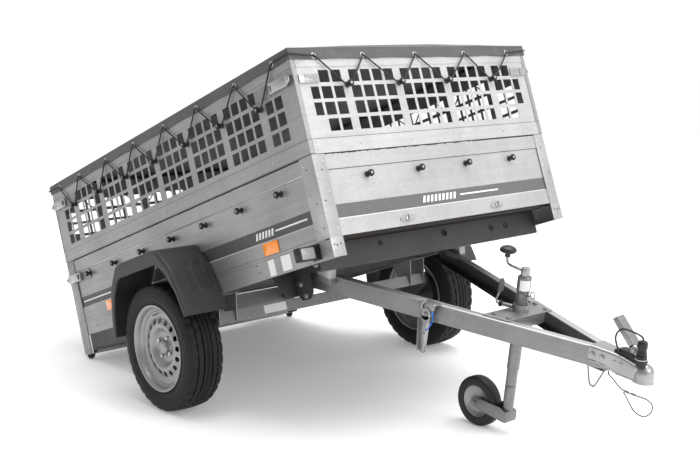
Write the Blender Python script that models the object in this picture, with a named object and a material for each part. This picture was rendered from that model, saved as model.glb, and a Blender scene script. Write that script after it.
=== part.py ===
"""Small galvanised tipping box trailer with mesh side extensions, a flat tarpaulin and a V drawbar.

Metres, +Z up, +X is the towing direction and +Y is the trailer's left side. At rest the box is tipped
back on its rubber feet and the drawbar stands on its jockey wheel. Two empties hold the assembly: one
for the tipped box (x forward from the front face, z up from the sill) and one for the drawbar (origin
on the tipping axis, x towards the coupling).
"""

import math

import bmesh
import bpy
from mathutils import Matrix, Vector

# ---- driving dimensions -------------------------------------------------------------------------
HALF = 0.645            # half width over the side faces
LENGTH = 2.08           # box length
BOX_TILT = 18.0         # box tipped back, degrees
BAR_TILT = 9.0          # drawbar slopes down to the coupling, degrees
SHEET = 0.002           # folded sheet
SEAM = 0.372            # top of the lower boards
EXT_LOW = 0.378         # bottom of the mesh extension
PIVOT = (-0.380, 0.0, 0.020)      # tipping axis in the box frame
AXLE = (-1.052, -0.160)           # road wheel axis, x and z in the box frame
TYRE_R = 0.270
WHEEL_Y = 0.744                   # wheel centre plane
ARM_SLOPE = 0.3121                # sideways run of an arm per metre of x
ARM_Y = 0.369                     # outer face of an arm above the tipping axis
ARM_TOP, ARM_LOW = -0.0535, -0.1285
ARM_ANGLE = math.atan(ARM_SLOPE)
JOCKEY_X = 0.691                  # jockey tube axis in the drawbar frame
JW_X, JW_Z, JW_R = 0.5475, -0.4685, 0.100
CUP = (1.245, 0.0, -0.093)        # ball centre of the coupling
ROWS = ((0.689, 0.642), (0.627, 0.580), (0.567, 0.518), (0.504, 0.457))
SIDE_BARS = [-1.04 + 0.27 * i for i in range(-3, 4)]
FRONT_BARS = [-0.399, -0.133, 0.133, 0.399]
COLUMN, COLUMN_PITCH = 0.047, 0.060
GROUND_LIFT = 0.7468              # box origin above the ground
SHIFT_X = 0.6708                  # box origin ahead of the row origin

for old in list(bpy.data.objects):
    bpy.data.objects.remove(old, do_unlink=True)


# ---- materials ----------------------------------------------------------------------------------
def material(name, colour, rough, metal):
    made = bpy.data.materials.new(name)
    made.use_nodes = True
    shader = made.node_tree.nodes["Principled BSDF"]
    shader.inputs["Base Color"].default_value = (*colour, 1.0)
    shader.inputs["Roughness"].default_value = rough
    shader.inputs["Metallic"].default_value = metal
    return made


LOOKS = {
    "zinc": ((0.62, 0.63, 0.64), 0.38, 0.9),
    "zinc_dark": ((0.42, 0.43, 0.44), 0.45, 0.9),
    "zinc_bright": ((0.72, 0.73, 0.74), 0.28, 0.95),
    "ply": ((0.20, 0.13, 0.08), 0.6, 0.0),
    "tarp": ((0.11, 0.115, 0.12), 0.7, 0.0),
    "rope": ((0.02, 0.02, 0.02), 0.8, 0.0),
    "plastic": ((0.03, 0.03, 0.032), 0.55, 0.0),
    "guard": ((0.07, 0.072, 0.075), 0.6, 0.0),
    "rubber": ((0.025, 0.025, 0.026), 0.8, 0.0),
    "silver": ((0.60, 0.61, 0.62), 0.4, 0.7),
    "lens": ((0.75, 0.76, 0.78), 0.12, 0.0),
    "red": ((0.35, 0.01, 0.01), 0.2, 0.0),
    "blue": ((0.01, 0.10, 0.55), 0.5, 0.0),
    "steel_rope": ((0.45, 0.46, 0.47), 0.35, 0.9),
}

# ---- frames -------------------------------------------------------------------------------------
box_frame = bpy.data.objects.new("box_frame", None)
bpy.context.scene.collection.objects.link(box_frame)
box_frame.location = (SHIFT_X, 0.0, GROUND_LIFT)
box_frame.rotation_euler = (0.0, -math.radians(BOX_TILT), 0.0)
bar_frame = bpy.data.objects.new("drawbar_frame", None)
bpy.context.scene.collection.objects.link(bar_frame)
tilt = Matrix.Rotation(-math.radians(BOX_TILT), 3, "Y")
bar_frame.location = Vector(box_frame.location) + tilt @ Vector(PIVOT)
bar_frame.rotation_euler = (0.0, math.radians(BAR_TILT), 0.0)


# ---- solids as (points, faces) ------------------------------------------------------------------
def block(lo, hi):
    (x0, y0, z0), (x1, y1, z1) = lo, hi
    points = [(x, y, z) for x in (x0, x1) for y in (y0, y1) for z in (z0, z1)]
    return points, [(0, 1, 3, 2), (4, 6, 7, 5), (0, 4, 5, 1), (2, 3, 7, 6), (0, 2, 6, 4), (1, 5, 7, 3)]


def prism(outline, lo, hi, axis):
    """An outline pushed along axis. It is (y, z) for X, (x, z) for Y and (x, y) for Z."""
    place = {
        "X": lambda a, b, c: (c, a, b),
        "Y": lambda a, b, c: (a, c, b),
        "Z": lambda a, b, c: (a, b, c),
    }[axis]
    n = len(outline)
    points = [place(a, b, c) for c in (lo, hi) for a, b in outline]
    faces = [tuple(range(n)), tuple(range(n, 2 * n))]
    faces += [(i, (i + 1) % n, n + (i + 1) % n, n + i) for i in range(n)]
    return points, faces


def turned(profile, at, axis, steps, start=0.0):
    """A profile of (radius, distance along axis) turned round axis through at, closed by its ends."""
    along = Vector(axis).normalized()
    across = along.orthogonal().normalized()
    if abs(along.z) < 0.5:
        across = (Vector((0, 0, 1)) - along * along.z).normalized()
    other = along.cross(across)
    points, rings = [], []
    for radius, reach in profile:
        if radius < 1e-9:
            rings.append([len(points)])
            points.append(tuple(Vector(at) + along * reach))
            continue
        rings.append(list(range(len(points), len(points) + steps)))
        for i in range(steps):
            turn = 2 * math.pi * i / steps + start
            side = across * math.cos(turn) + other * math.sin(turn)
            points.append(tuple(Vector(at) + along * reach + side * radius))
    faces = []
    for low, high in zip(rings, rings[1:]):
        for i in range(steps):
            j = (i + 1) % steps
            if len(low) == 1:
                faces.append((low[0], high[i], high[j]))
            elif len(high) == 1:
                faces.append((low[i], low[j], high[0]))
            else:
                faces.append((low[i], low[j], high[j], high[i]))
    if len(rings[0]) > 1:
        faces.append(tuple(rings[0]))
    if len(rings[-1]) > 1:
        faces.append(tuple(rings[-1]))
    return points, faces


def ring(profile, at, axis, steps, start=0.0):
    """A closed profile of (radius, distance) turned round axis: a tyre or a tube."""
    points, faces = turned(list(profile) + [profile[0]], at, axis, steps, start)
    n = len(profile) * steps
    faces = [tuple(i % n if i >= n else i for i in face) for face in faces[:-2]]
    return points[:n], faces


def rod(a, b, radius, steps=10, start=0.0):
    reach = (Vector(b) - Vector(a)).length
    return turned([(radius, 0.0), (radius, reach)], a, Vector(b) - Vector(a), steps, start)


def swept(path, radius, steps=8):
    """A round bar along a bent path, with flat ends."""
    path = [Vector(p) for p in path]
    points, faces = [], []
    side = None
    for i, p in enumerate(path):
        ahead = (path[min(i + 1, len(path) - 1)] - p).normalized() if i + 1 < len(path) else None
        behind = (p - path[i - 1]).normalized() if i else None
        along = ((ahead or behind) + (behind or ahead)).normalized()
        if side is None:
            side = along.orthogonal().normalized()
        side = (side - along * side.dot(along)).normalized()
        up = along.cross(side)
        grow = 1.0 / max(0.5, along.dot(ahead or behind))
        for k in range(steps):
            turn = 2 * math.pi * k / steps
            points.append(tuple(p + (side * math.cos(turn) + up * math.sin(turn)) * radius * grow))
    for i in range(len(path) - 1):
        for k in range(steps):
            j = (k + 1) % steps
            faces.append((i * steps + k, i * steps + j, (i + 1) * steps + j, (i + 1) * steps + k))
    faces.append(tuple(range(steps)))
    faces.append(tuple(range((len(path) - 1) * steps, len(path) * steps)))
    return points, faces


def changed(solid, matrix):
    return [tuple(matrix @ Vector(p)) for p in solid[0]], solid[1]


def mirrored(solid):
    return [(x, -y, z) for x, y, z in solid[0]], solid[1]


def joined(solids):
    points, faces = [], []
    for more, rings in solids:
        faces += [tuple(i + len(points) for i in face) for face in rings]
        points += more
    return points, faces


def mesh_from(solid):
    mesh = bpy.data.meshes.new("shape")
    mesh.from_pydata([tuple(p) for p in solid[0]], [], [list(f) for f in solid[1]])
    work = bmesh.new()
    work.from_mesh(mesh)
    bmesh.ops.remove_doubles(work, verts=work.verts, dist=1e-7)
    bmesh.ops.recalc_face_normals(work, faces=work.faces)
    work.to_mesh(mesh)
    work.free()
    return mesh


def helper(solid):
    made = bpy.data.objects.new("helper", mesh_from(solid))
    bpy.context.scene.collection.objects.link(made)
    made.hide_render = True
    made.display_type = "WIRE"
    return made


def fused(base, adds=(), cuts=()):
    """One closed body: base with the adds joined and the cuts taken away."""
    if not adds and not cuts:
        return mesh_from(base)
    target = helper(base)
    helpers = []
    for operation, solids in (("UNION", adds), ("DIFFERENCE", cuts)):
        for solid in solids:
            tool = helper(solid)
            helpers.append(tool)
            step = target.modifiers.new(operation, "BOOLEAN")
            step.operation, step.solver, step.object = operation, "EXACT", tool
    bpy.context.view_layer.update()
    graph = bpy.context.evaluated_depsgraph_get()
    mesh = bpy.data.meshes.new_from_object(target.evaluated_get(graph))
    for done in helpers + [target]:
        bpy.data.objects.remove(done, do_unlink=True)
    return mesh


def piece(name, look, base, adds=(), cuts=(), frame=None, at=(0.0, 0.0, 0.0)):
    """A named sub-part in its frame, with its origin at the given point."""
    mesh = fused(base, adds, cuts)
    mesh.transform(Matrix.Translation(-Vector(at)))
    mesh.name = name
    mesh.materials.clear()
    mesh.materials.append(material(name + "_finish", *LOOKS[look]))
    made = bpy.data.objects.new(name, mesh)
    bpy.context.scene.collection.objects.link(made)
    made.parent = frame or box_frame
    made.location = at
    return made


def both(name, look, base, adds=(), cuts=(), frame=None, at=(0.0, 0.0, 0.0)):
    """The right-hand piece as given (its Y is negative) and its mirror image on the left."""
    piece(name + "_right", look, base, adds, cuts, frame, at)
    flip = [[mirrored(s) for s in solids] for solids in ([base], adds, cuts)]
    piece(name + "_left", look, flip[0][0], flip[1], flip[2], frame, (at[0], -at[1], at[2]))


# ---- floor and chassis --------------------------------------------------------------------------
piece("floor_panel", "ply", block((-2.045, -0.607, 0.0668), (-0.030, 0.607, 0.0758)))


def channel(web, tip, low, high, t=0.0025):
    """C outline standing on its web at web and opening towards tip."""
    d = t if tip > web else -t
    return [(web, low), (tip, low), (tip, low + t), (web + d, low + t),
            (web + d, high - t), (tip, high - t), (tip, high), (web, high)]


both("sill", "zinc", prism(channel(-0.6425, -0.6125, 0.0, 0.066), -2.0765, -0.0035, "X"))


def ribbed(outer, low, high, t, steps, fold_low, fold_high):
    """Folded sheet in section. outer is the proud face, steps lists (height, offset inwards) going up."""
    face = [(outer - steps[0][1], low)]
    for (height, inset), (_, before) in zip(steps[1:], steps):
        face += [(outer - before, height - 0.0015), (outer - inset, height + 0.0015)]
    face.append((outer - steps[-1][1], high))
    back = [(y - t, z) for y, z in face]
    back[0] = (back[0][0], low + t)
    back[-1] = (back[-1][0], high - t)
    inner_top, inner_low = face[-1][0] - fold_high, face[0][0] - fold_low
    top = [(inner_top, high), (inner_top, high - t)]
    bottom = [(inner_low, low + t), (inner_low, low)]
    return face + top + back[::-1] + bottom


def facing(outline, where):
    """Turns an outward section (out, z) into the section for the right, front or rear face."""
    return [(-out, z) for out, z in outline] if where == "right" else outline


BOARD_STEPS = ((0.066, 0.0), (0.134, 0.0028), (0.3165, 0.0))
board = ribbed(0.6425, 0.0668, SEAM, SHEET, BOARD_STEPS, 0.012, 0.028)


def knobs(spots, where):
    """Rubber tie knobs standing on a face: a stem and a wider head."""
    profile = [(0.0042, -0.0012), (0.0042, 0.0180), (0.0098, 0.0200), (0.0080, 0.0290)]
    shapes = []
    for a, out, z in spots:
        if where == "side":
            shapes.append(turned(profile, (a, -out, z), (0, -1, 0), 6))
        else:
            way = 1.0 if where == "front" else -1.0
            shapes.append(turned(profile, (way * out if way > 0 else -LENGTH - out, a, z), (way, 0, 0), 6))
    return joined(shapes)


low_side_knobs = knobs([(x, HALF - 0.0053, 0.285) for x in SIDE_BARS], "side")
both("side_board", "zinc", prism(facing(board, "right"), -2.0765, -0.0312, "X"), [low_side_knobs])

front = ribbed(-0.0025, 0.073, SEAM, SHEET, BOARD_STEPS, 0.012, 0.028)
catches = []
for side in (-1, 1):
    catches += [block((-0.006, side * 0.253 - 0.020, 0.092), (0.0015, side * 0.253 + 0.020, 0.109)),
                rod((-0.004, side * 0.253, 0.0985), (0.014, side * 0.253, 0.0985), 0.0055, 8)]
piece("front_board", "zinc", prism(front, -0.6375, 0.6375, "Y"),
      [knobs([(y, -0.0053, 0.285) for y in FRONT_BARS], "front")] + catches)


def corner_post(top, low_front, low_side, front_leg, side_leg, sx):
    """Angle post at a right-hand corner. sx is 1 at the front and -1 at the rear."""
    x0 = 0.0 if sx > 0 else -LENGTH
    inner = x0 - sx * side_leg
    legs = [
        block((min(x0, x0 - sx * 0.0018), -HALF, low_front), (max(x0, x0 - sx * 0.0018), -HALF + front_leg, top)),
        block((min(x0 - sx * 0.0001, inner), -HALF, low_side), (max(x0 - sx * 0.0001, inner), -HALF + 0.0018, top)),
    ]
    return legs


fr = corner_post(SEAM + 0.004, 0.0, 0.070, 0.060, 0.077, 1)
hole = [rod((-0.01, y, 0.045), (0.01, y, 0.045), r, 8) for y, r in ((-0.632, 0.002), (-0.620, 0.0035), (-0.602, 0.002))]
both("post_front", "zinc", fr[0], [fr[1]], hole)
rr = corner_post(SEAM + 0.004, -0.094, -0.094, 0.042, 0.077, -1)
foot_plate = block((-2.0796, -0.6446, -0.0938), (-2.0360, -0.6032, -0.0913))
both("post_rear", "zinc", rr[0], [rr[1], foot_plate], [rod((-2.056, -0.624, -0.1), (-2.056, -0.624, -0.08), 0.0051, 8)])


def crossmember(lo_x, hi_x, low, high, half, way, t=0.0025):
    """C channel across the trailer. way is 1 when it opens forwards."""
    web, tip = (lo_x, hi_x) if way > 0 else (hi_x, lo_x)
    return prism(channel(web, tip, low, high, t), -half, half, "Y")


grommets = [rod((-0.14, y, z), (-0.12, y, z), r, 10) for y, z, r in
            ((-0.30, 0.035, 0.008), (0.05, 0.032, 0.012), (0.33, 0.020, 0.010), (0.42, 0.020, 0.010))]
piece("front_crossmember", "zinc_dark", crossmember(-0.162, -0.130, -0.032, 0.0645, 0.611, -1), [], grommets)
piece("mid_crossmember", "zinc_dark", crossmember(-0.600, -0.5565, 0.0030, 0.0630, 0.609, -1))
lip = block((-2.0345, -0.6005, -0.0945), (-2.0323, 0.6005, -0.080))
piece("rear_crossmember", "zinc", crossmember(-2.0725, -2.032, -0.095, 0.0645, 0.6010, 1), [lip],
      [rod((-2.05, y, -0.1), (-2.05, y, -0.07), 0.010, 8) for y in (-0.52, 0.52)])

# ---- mesh extension -----------------------------------------------------------------------------
EXT_STEPS = ((EXT_LOW, 0.0), (0.433, 0.0018), (0.7015, 0.0))


def columns_between(a, b, count):
    """Hole edges centred between two bars."""
    middle = (a + b) / 2
    first = middle - COLUMN_PITCH * (count - 1) / 2
    return [(first + COLUMN_PITCH * i - COLUMN / 2, first + COLUMN_PITCH * i + COLUMN / 2) for i in range(count)]


def lattice(us, holes, out_lo, out_hi, z_lo, z_hi, where):
    """A flat sheet with square holes, built on a grid. holes are (u0, u1, z0, z1)."""
    us = sorted(set(us) | {u for h in holes for u in h[:2]})
    zs = sorted({z_lo, z_hi} | {z for h in holes for z in h[2:]})
    open_cells = set()
    for u0, u1, z0, z1 in holes:
        for i in range(us.index(u0), us.index(u1)):
            for j in range(zs.index(z0), zs.index(z1)):
                open_cells.add((i, j))
    nu, nz = len(us), len(zs)

    def at(i, j, k):
        return (i * nz + j) * 2 + k

    points = []
    for u in us:
        for z in zs:
            for out in (out_lo, out_hi):
                points.append((u, -out, z) if where == "side" else (out, u, z))
    faces = []
    for i in range(nu - 1):
        for j in range(nz - 1):
            if (i, j) in open_cells:
                continue
            for k in (0, 1):
                faces.append((at(i, j, k), at(i + 1, j, k), at(i + 1, j + 1, k), at(i, j + 1, k)))
            for di, dj, e in ((-1, 0, ((i, j), (i, j + 1))), (1, 0, ((i + 1, j), (i + 1, j + 1))),
                              (0, -1, ((i, j), (i + 1, j))), (0, 1, ((i, j + 1), (i + 1, j + 1)))):
                n = (i + di, j + dj)
                if n in open_cells or not (0 <= n[0] < nu - 1 and 0 <= n[1] < nz - 1):
                    (a, b), (c, d) = e
                    faces.append((at(a, b, 0), at(c, d, 0), at(c, d, 1), at(a, b, 1)))
    used = sorted({i for f in faces for i in f})
    order = {old: new for new, old in enumerate(used)}
    return [points[i] for i in used], [tuple(order[i] for i in f) for f in faces]


side_holes = []
for a, b in zip(SIDE_BARS, SIDE_BARS[1:]):
    side_holes += [(u0, u1, z1, z0) for u0, u1 in columns_between(a, b, 4) for z0, z1 in ROWS]
for x_end, bar, way in ((0.0, SIDE_BARS[-1], 1), (-LENGTH, SIDE_BARS[0], -1)):
    for offset in (0.0525, 0.1125):
        middle = bar + way * (offset - 0.0015)
        side_holes += [(middle - COLUMN / 2, middle + COLUMN / 2, z1, z0) for z0, z1 in ROWS[1:]]
plane = HALF - 0.0018
flat = lattice([-2.0795, -0.0005], side_holes, plane - 0.0018, plane, EXT_LOW, 0.7680, "side")
bands = [block((-2.0795, -HALF, EXT_LOW), (-0.0005, -HALF + 0.003, 0.4325)),
         block((-2.0795, -HALF, 0.7015), (-0.0005, -HALF + 0.003, 0.7680)),
         block((-2.0535, -HALF + 0.0005, EXT_LOW + 0.0003), (-0.0265, -HALF + 0.026, EXT_LOW + 0.0018)),
         block((-2.0535, -HALF + 0.0005, 0.7662), (-0.0265, -HALF + 0.026, 0.7677)),
         block((-0.0020, -HALF, EXT_LOW), (0.0, -HALF + 0.020, 0.7680)),
         block((-LENGTH, -HALF, EXT_LOW), (-LENGTH + 0.0020, -HALF + 0.020, 0.7680)),
         block((-0.249, -HALF - 0.0015, 0.640), (-0.150, -HALF + 0.002, 0.685)),
         block((-1.930, -HALF - 0.0015, 0.640), (-1.831, -HALF + 0.002, 0.685))]
mesh_side_knobs = knobs([(x, plane, 0.630) for x in SIDE_BARS[:-1]] + [(-0.230, HALF - 0.0015, 0.612)], "side")
both("mesh_side", "zinc", flat, bands + [mesh_side_knobs])

end_holes = []
for a, b in zip(FRONT_BARS, FRONT_BARS[1:]):
    end_holes += [(u0, u1, z1, z0) for u0, u1 in columns_between(a, b, 4) for z0, z1 in ROWS]
for s in (-1, 1):
    for a, b, rows in ((0.419, 0.466, ROWS), (0.478, 0.526, ROWS), (0.538, 0.576, ROWS[1:3])):
        lo, hi = (a, b) if s > 0 else (-b, -a)
        end_holes += [(lo, hi, z1, z0) for z0, z1 in rows]
END = 0.6235


def end_panel(name, x_out, way):
    """Front or rear mesh panel. way is 1 at the front and -1 at the rear."""
    def span(near, far):
        ends = sorted((x_out - way * near, x_out - way * far))
        return ends
    lo, hi = span(0.0018, 0.0036)
    sheet = lattice([-END, END], end_holes, lo, hi, EXT_LOW, 0.7680, "front")
    adds = []
    for z0, z1 in ((EXT_LOW, 0.4325), (0.7015, 0.7680)):
        a, b = span(0.0, 0.003)
        adds.append(block((a, -END, z0), (b, END, z1)))
    a, b = span(0.001, 0.024)
    adds.append(block((a, -END, EXT_LOW), (b, END, EXT_LOW + 0.0018)))
    adds.append(block((a, -END, 0.7662), (b, END, 0.7680)))
    for s in (-1, 1):
        a, b = span(-0.0026, 0.003)
        adds.append(block((a, min(s * 0.533, s * END), 0.6415), (b, max(s * 0.533, s * END), 0.673)))
        a, b = span(0.0016, 0.020)
        adds.append(block((a, s * END - (0.0018 if s > 0 else 0), EXT_LOW), (b, s * END + (0.0018 if s < 0 else 0), 0.7680)))
    where = "front" if way > 0 else "rear"
    spots = [(y, -0.0018 if way > 0 else -0.0018, 0.630) for y in FRONT_BARS]
    piece(name, "zinc", sheet, adds + [knobs(spots, where)])


end_panel("mesh_front", 0.0, 1)
end_panel("mesh_rear", -LENGTH, -1)

# ---- tailgate, hinged at its lower edge ----------------------------------------------------------
gate = ribbed(-0.0025, 0.0735, SEAM, SHEET, BOARD_STEPS, 0.012, 0.024)
gate = [(-LENGTH - out, z) for out, z in gate]
gate_catch = [block((-LENGTH - 0.0015, min(s * 0.530, s * 0.598), 0.268), (-LENGTH + 0.0062, max(s * 0.530, s * 0.598), 0.310))
              for s in (-1, 1)]
piece("tailgate", "zinc", prism(gate, -0.600, 0.600, "Y"),
      gate_catch + [knobs([(y, -0.0053, 0.230) for y in FRONT_BARS], "rear")],
      at=(-LENGTH - 0.0025, 0.0, 0.0700))

# ---- tarpaulin and its rope -----------------------------------------------------------------------
T_HALF, T_OUT, T_LOW, T_HIGH, T_THICK = HALF + 0.0042, 0.0042, 0.729, 0.776, 0.0020
crown = 0.010
outer = [(-T_HALF, T_LOW), (-T_HALF, T_HIGH - 0.004), (-T_HALF + 0.004, T_HIGH),
         (-0.30, T_HIGH + crown * 0.75), (0.0, T_HIGH + crown), (0.30, T_HIGH + crown * 0.75),
         (T_HALF - 0.004, T_HIGH), (T_HALF, T_HIGH - 0.004), (T_HALF, T_LOW)]
inner = [(-T_HALF + T_THICK, T_LOW - 0.01), (-T_HALF + T_THICK, T_HIGH - 0.005), (-T_HALF + 0.006, T_HIGH - T_THICK),
         (-0.30, T_HIGH + crown * 0.75 - T_THICK), (0.0, T_HIGH + crown - T_THICK),
         (0.30, T_HIGH + crown * 0.75 - T_THICK), (T_HALF - 0.006, T_HIGH - T_THICK),
         (T_HALF - T_THICK, T_HIGH - 0.005), (T_HALF - T_THICK, T_LOW - 0.01)]
piece("tarp", "tarp", prism(outer, -LENGTH - T_OUT, T_OUT, "X"), [],
      [prism(inner, -LENGTH - T_OUT + T_THICK, T_OUT - T_THICK, "X")])

ROPE_R = 0.003
ROPE_OUT = T_OUT + ROPE_R + 0.0008
FRONT_EYES = [-0.533, -0.293, -0.015, 0.268, 0.533]
SIDE_EYES = [-0.104, -0.360, -0.647, -0.917, -1.190, -1.463, -1.750, -1.976]


def smooth_tie(eye_a, knob, eye_b, eye_z, knob_z):
    """(along, out, z) of the rope from one eyelet round under a knob to the next."""
    lift = 0.0082
    step = 0.0072 if eye_b > eye_a else -0.0072
    return [(eye_a, ROPE_OUT, eye_z), (knob - step, 0.0100, knob_z - lift),
            (knob + step, 0.0100, knob_z - lift)]


route = []
side_ties = sorted(SIDE_BARS, reverse=True)
side_ties[0] = -0.230


def side_run(y_sign, forward):
    eyes = SIDE_EYES if not forward else SIDE_EYES[::-1]
    ties = side_ties if not forward else side_ties[::-1]
    run = []
    for k, (a, b) in enumerate(zip(eyes, eyes[1:])):
        knob_z = 0.612 if abs(ties[k] + 0.230) < 1e-6 else 0.630
        run += smooth_tie(a, ties[k], b, 0.748, knob_z)
    run.append((eyes[-1], ROPE_OUT, 0.748))
    return [(x, y_sign * (HALF + out), z) for x, out, z in run]


def end_run(x_out, way, left_first):
    eyes = FRONT_EYES[::-1] if left_first else FRONT_EYES
    ties = FRONT_BARS[::-1] if left_first else FRONT_BARS
    run = []
    for k, (a, b) in enumerate(zip(eyes, eyes[1:])):
        run += smooth_tie(a, ties[k], b, 0.742, 0.630)
    run.append((eyes[-1], ROPE_OUT, 0.742))
    return [(x_out + way * out, y, z) for y, out, z in run]


corner = 0.0055
CORNER_OUT = ROPE_OUT + 0.001
route += end_run(0.0, 1, False)
route += [(CORNER_OUT, HALF + corner, 0.751), (corner, HALF + CORNER_OUT, 0.752)]
route += side_run(1, False)
route += [(-LENGTH - corner, HALF + CORNER_OUT, 0.752), (-LENGTH - CORNER_OUT, HALF + corner, 0.751)]
route += end_run(-LENGTH, -1, True)
route += [(-LENGTH - CORNER_OUT, -HALF - corner, 0.751), (-LENGTH - corner, -HALF - CORNER_OUT, 0.752)]
route += side_run(-1, True)
route += [(corner, -HALF - CORNER_OUT, 0.752), (CORNER_OUT, -HALF - corner, 0.751)]


def cord(name, look, path, radius, closed=False, frame=None, resolution=2, at=(0.0, 0.0, 0.0)):
    curve = bpy.data.curves.new(name, "CURVE")
    curve.dimensions = "3D"
    curve.bevel_depth = radius
    curve.bevel_resolution = resolution
    curve.use_fill_caps = not closed
    line = curve.splines.new("POLY")
    line.points.add(len(path) - 1)
    for spot, p in zip(line.points, path):
        spot.co = (p[0] - at[0], p[1] - at[1], p[2] - at[2], 1.0)
    line.use_cyclic_u = closed
    curve.materials.append(material(name + "_finish", *LOOKS[look]))
    made = bpy.data.objects.new(name, curve)
    bpy.context.scene.collection.objects.link(made)
    made.parent = frame or box_frame
    made.location = at
    return made


def smooth(points, count):
    """Points read evenly from a Catmull-Rom curve through the given ones."""
    p = [Vector(q) for q in points]
    p = [p[0] * 2 - p[1]] + p + [p[-1] * 2 - p[-2]]
    dense = []
    for a, b, c, d in zip(p, p[1:], p[2:], p[3:]):
        for k in range(24):
            t = k / 24
            dense.append(0.5 * (2 * b + (c - a) * t + (2 * a - 5 * b + 4 * c - d) * t * t
                                + (3 * b - a - 3 * c + d) * t ** 3))
    dense.append(p[-2])
    reach = [0.0]
    for a, b in zip(dense, dense[1:]):
        reach.append(reach[-1] + (b - a).length)
    made, k = [], 0
    for i in range(count):
        want = reach[-1] * i / (count - 1)
        while k < len(reach) - 2 and reach[k + 1] < want:
            k += 1
        share = (want - reach[k]) / max(1e-9, reach[k + 1] - reach[k])
        made.append(dense[k].lerp(dense[k + 1], min(1.0, share)))
    return made


cord("tarp_rope", "rope", route, ROPE_R, closed=True)

# ---- mudguards --------------------------------------------------------------------------------------
skin = [(-0.734, -0.067), (-0.749, 0.010), (-0.792, 0.136), (-0.868, 0.223), (-0.905, 0.232),
        (-1.195, 0.232), (-1.232, 0.223), (-1.308, 0.136), (-1.351, 0.010), (-1.366, -0.067)]
under = [(-1.362, -0.067), (-1.347, 0.009), (-1.3045, 0.134), (-1.2300, 0.2195), (-1.194, 0.228),
         (-0.906, 0.228), (-0.8700, 0.2195), (-0.7955, 0.134), (-0.753, 0.009), (-0.738, -0.067)]
lip_edge = [(-1.340, -0.067), (-1.315, 0.030), (-1.275, 0.112), (-1.220, 0.171), (-0.880, 0.171),
            (-0.822, 0.112), (-0.775, 0.030), (-0.750, -0.067)]
G0, G1 = -HALF - 0.0010, -HALF - 0.200
guard = prism(skin + under, G1, G0, "Y")
outer_wall = prism(skin + lip_edge, G1, G1 + 0.004, "Y")
inner_wall = prism(skin + [(-1.352, -0.067), (-1.336, 0.012), (-1.290, 0.128), (-1.222, 0.205),
                           (-0.878, 0.205), (-0.808, 0.128), (-0.764, 0.012), (-0.748, -0.067)],
                   G0 - 0.004, G0, "Y")
both("mudguard", "guard", guard, [outer_wall, inner_wall])

# ---- lamps --------------------------------------------------------------------------------------------
lamp = block((-0.113, -0.7335, 0.010), (-0.078, -0.6430, 0.061))
lens = prism([(-0.728, 0.0145), (-0.668, 0.0145), (-0.668, 0.0565), (-0.728, 0.0565)], -0.080, -0.0735, "X")
both("marker_lamp", "plastic", lamp, [lens])
rear_lamp = block((-2.1010, -0.555, -0.078), (-2.0730, -0.355, 0.028))
rear_lens = prism([(-0.549, -0.072), (-0.361, -0.072), (-0.361, 0.022), (-0.549, 0.022)], -2.1085, -2.0990, "X")
both("rear_lamp", "red", rear_lamp, [rear_lens])

# ---- tipping hinge ----------------------------------------------------------------------------------
plate = [(-0.5485, 0.0640), (-0.5485, -0.085), (-0.530, -0.107), (-0.474, -0.107), (-0.450, -0.083),
         (-0.450, -0.010), (-0.372, -0.010), (-0.353, 0.005), (-0.350, 0.030), (-0.365, 0.050), (-0.400, 0.064)]
gusset = prism([(-0.526, -0.001), (-0.478, -0.086), (-0.4195, -0.086), (-0.4195, 0.062), (-0.526, 0.062)],
               -0.5555, -0.5515, "X")
gusset_fold = prism([(-0.5555, -0.085), (-0.5485, -0.085), (-0.5485, 0.062), (-0.5555, 0.062)], -0.4220, -0.4180, "Y")
shaft_hole = rod((PIVOT[0], -0.43, PIVOT[2]), (PIVOT[0], -0.40, PIVOT[2]), 0.01112, 28)
both("hinge_bracket", "zinc_dark", prism(plate, -0.4220, -0.4180, "Y"), [gusset, gusset_fold], [shaft_hole])
piece("tip_shaft", "zinc_dark", rod((PIVOT[0], -0.434, PIVOT[2]), (PIVOT[0], 0.434, PIVOT[2]), 0.0110, 28))

# ---- axle, swing arms and wheels ---------------------------------------------------------------------
beam = block((-0.943, -0.600, -0.121), (-0.893, 0.600, -0.071))
pads = []
for s in (-1, 1):
    pads += [block((-1.000, s * 0.6, -0.004), (-0.836, s * 0.5, -0.0005)) if s < 0 else
             block((-1.000, 0.5, -0.004), (-0.836, 0.6, -0.0005)),
             prism([(-0.985, -0.002), (-0.948, -0.121), (-0.888, -0.121), (-0.851, -0.002)],
                   s * 0.600 - 0.002, s * 0.600 + 0.002, "Y"),
             prism([(-0.985, -0.002), (-0.948, -0.121), (-0.888, -0.121), (-0.851, -0.002)],
                   s * 0.512 - 0.002, s * 0.512 + 0.002, "Y")]
piece("axle_beam", "zinc", beam, pads)
BEAM = (-0.918, -0.096)
arm_out = [(BEAM[0] + 0.034, BEAM[1] - 0.010), (BEAM[0] + 0.024, BEAM[1] + 0.026), (BEAM[0] - 0.006, BEAM[1] + 0.034),
           (AXLE[0] - 0.016, AXLE[1] + 0.030), (AXLE[0] - 0.034, AXLE[1]), (AXLE[0] - 0.016, AXLE[1] - 0.030),
           (AXLE[0] + 0.010, AXLE[1] - 0.034), (BEAM[0] + 0.014, BEAM[1] - 0.032)]
spindle = turned([(0.020, 0.0), (0.020, 0.022), (0.0125, 0.024), (0.0125, 0.072)],
                 (AXLE[0], -0.626, AXLE[1]), (0, -1, 0), 12)
both("swing_arm", "zinc_dark", prism(arm_out, -0.630, -0.6035, "Y"), [spindle], at=(BEAM[0], -0.6, BEAM[1]))

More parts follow.
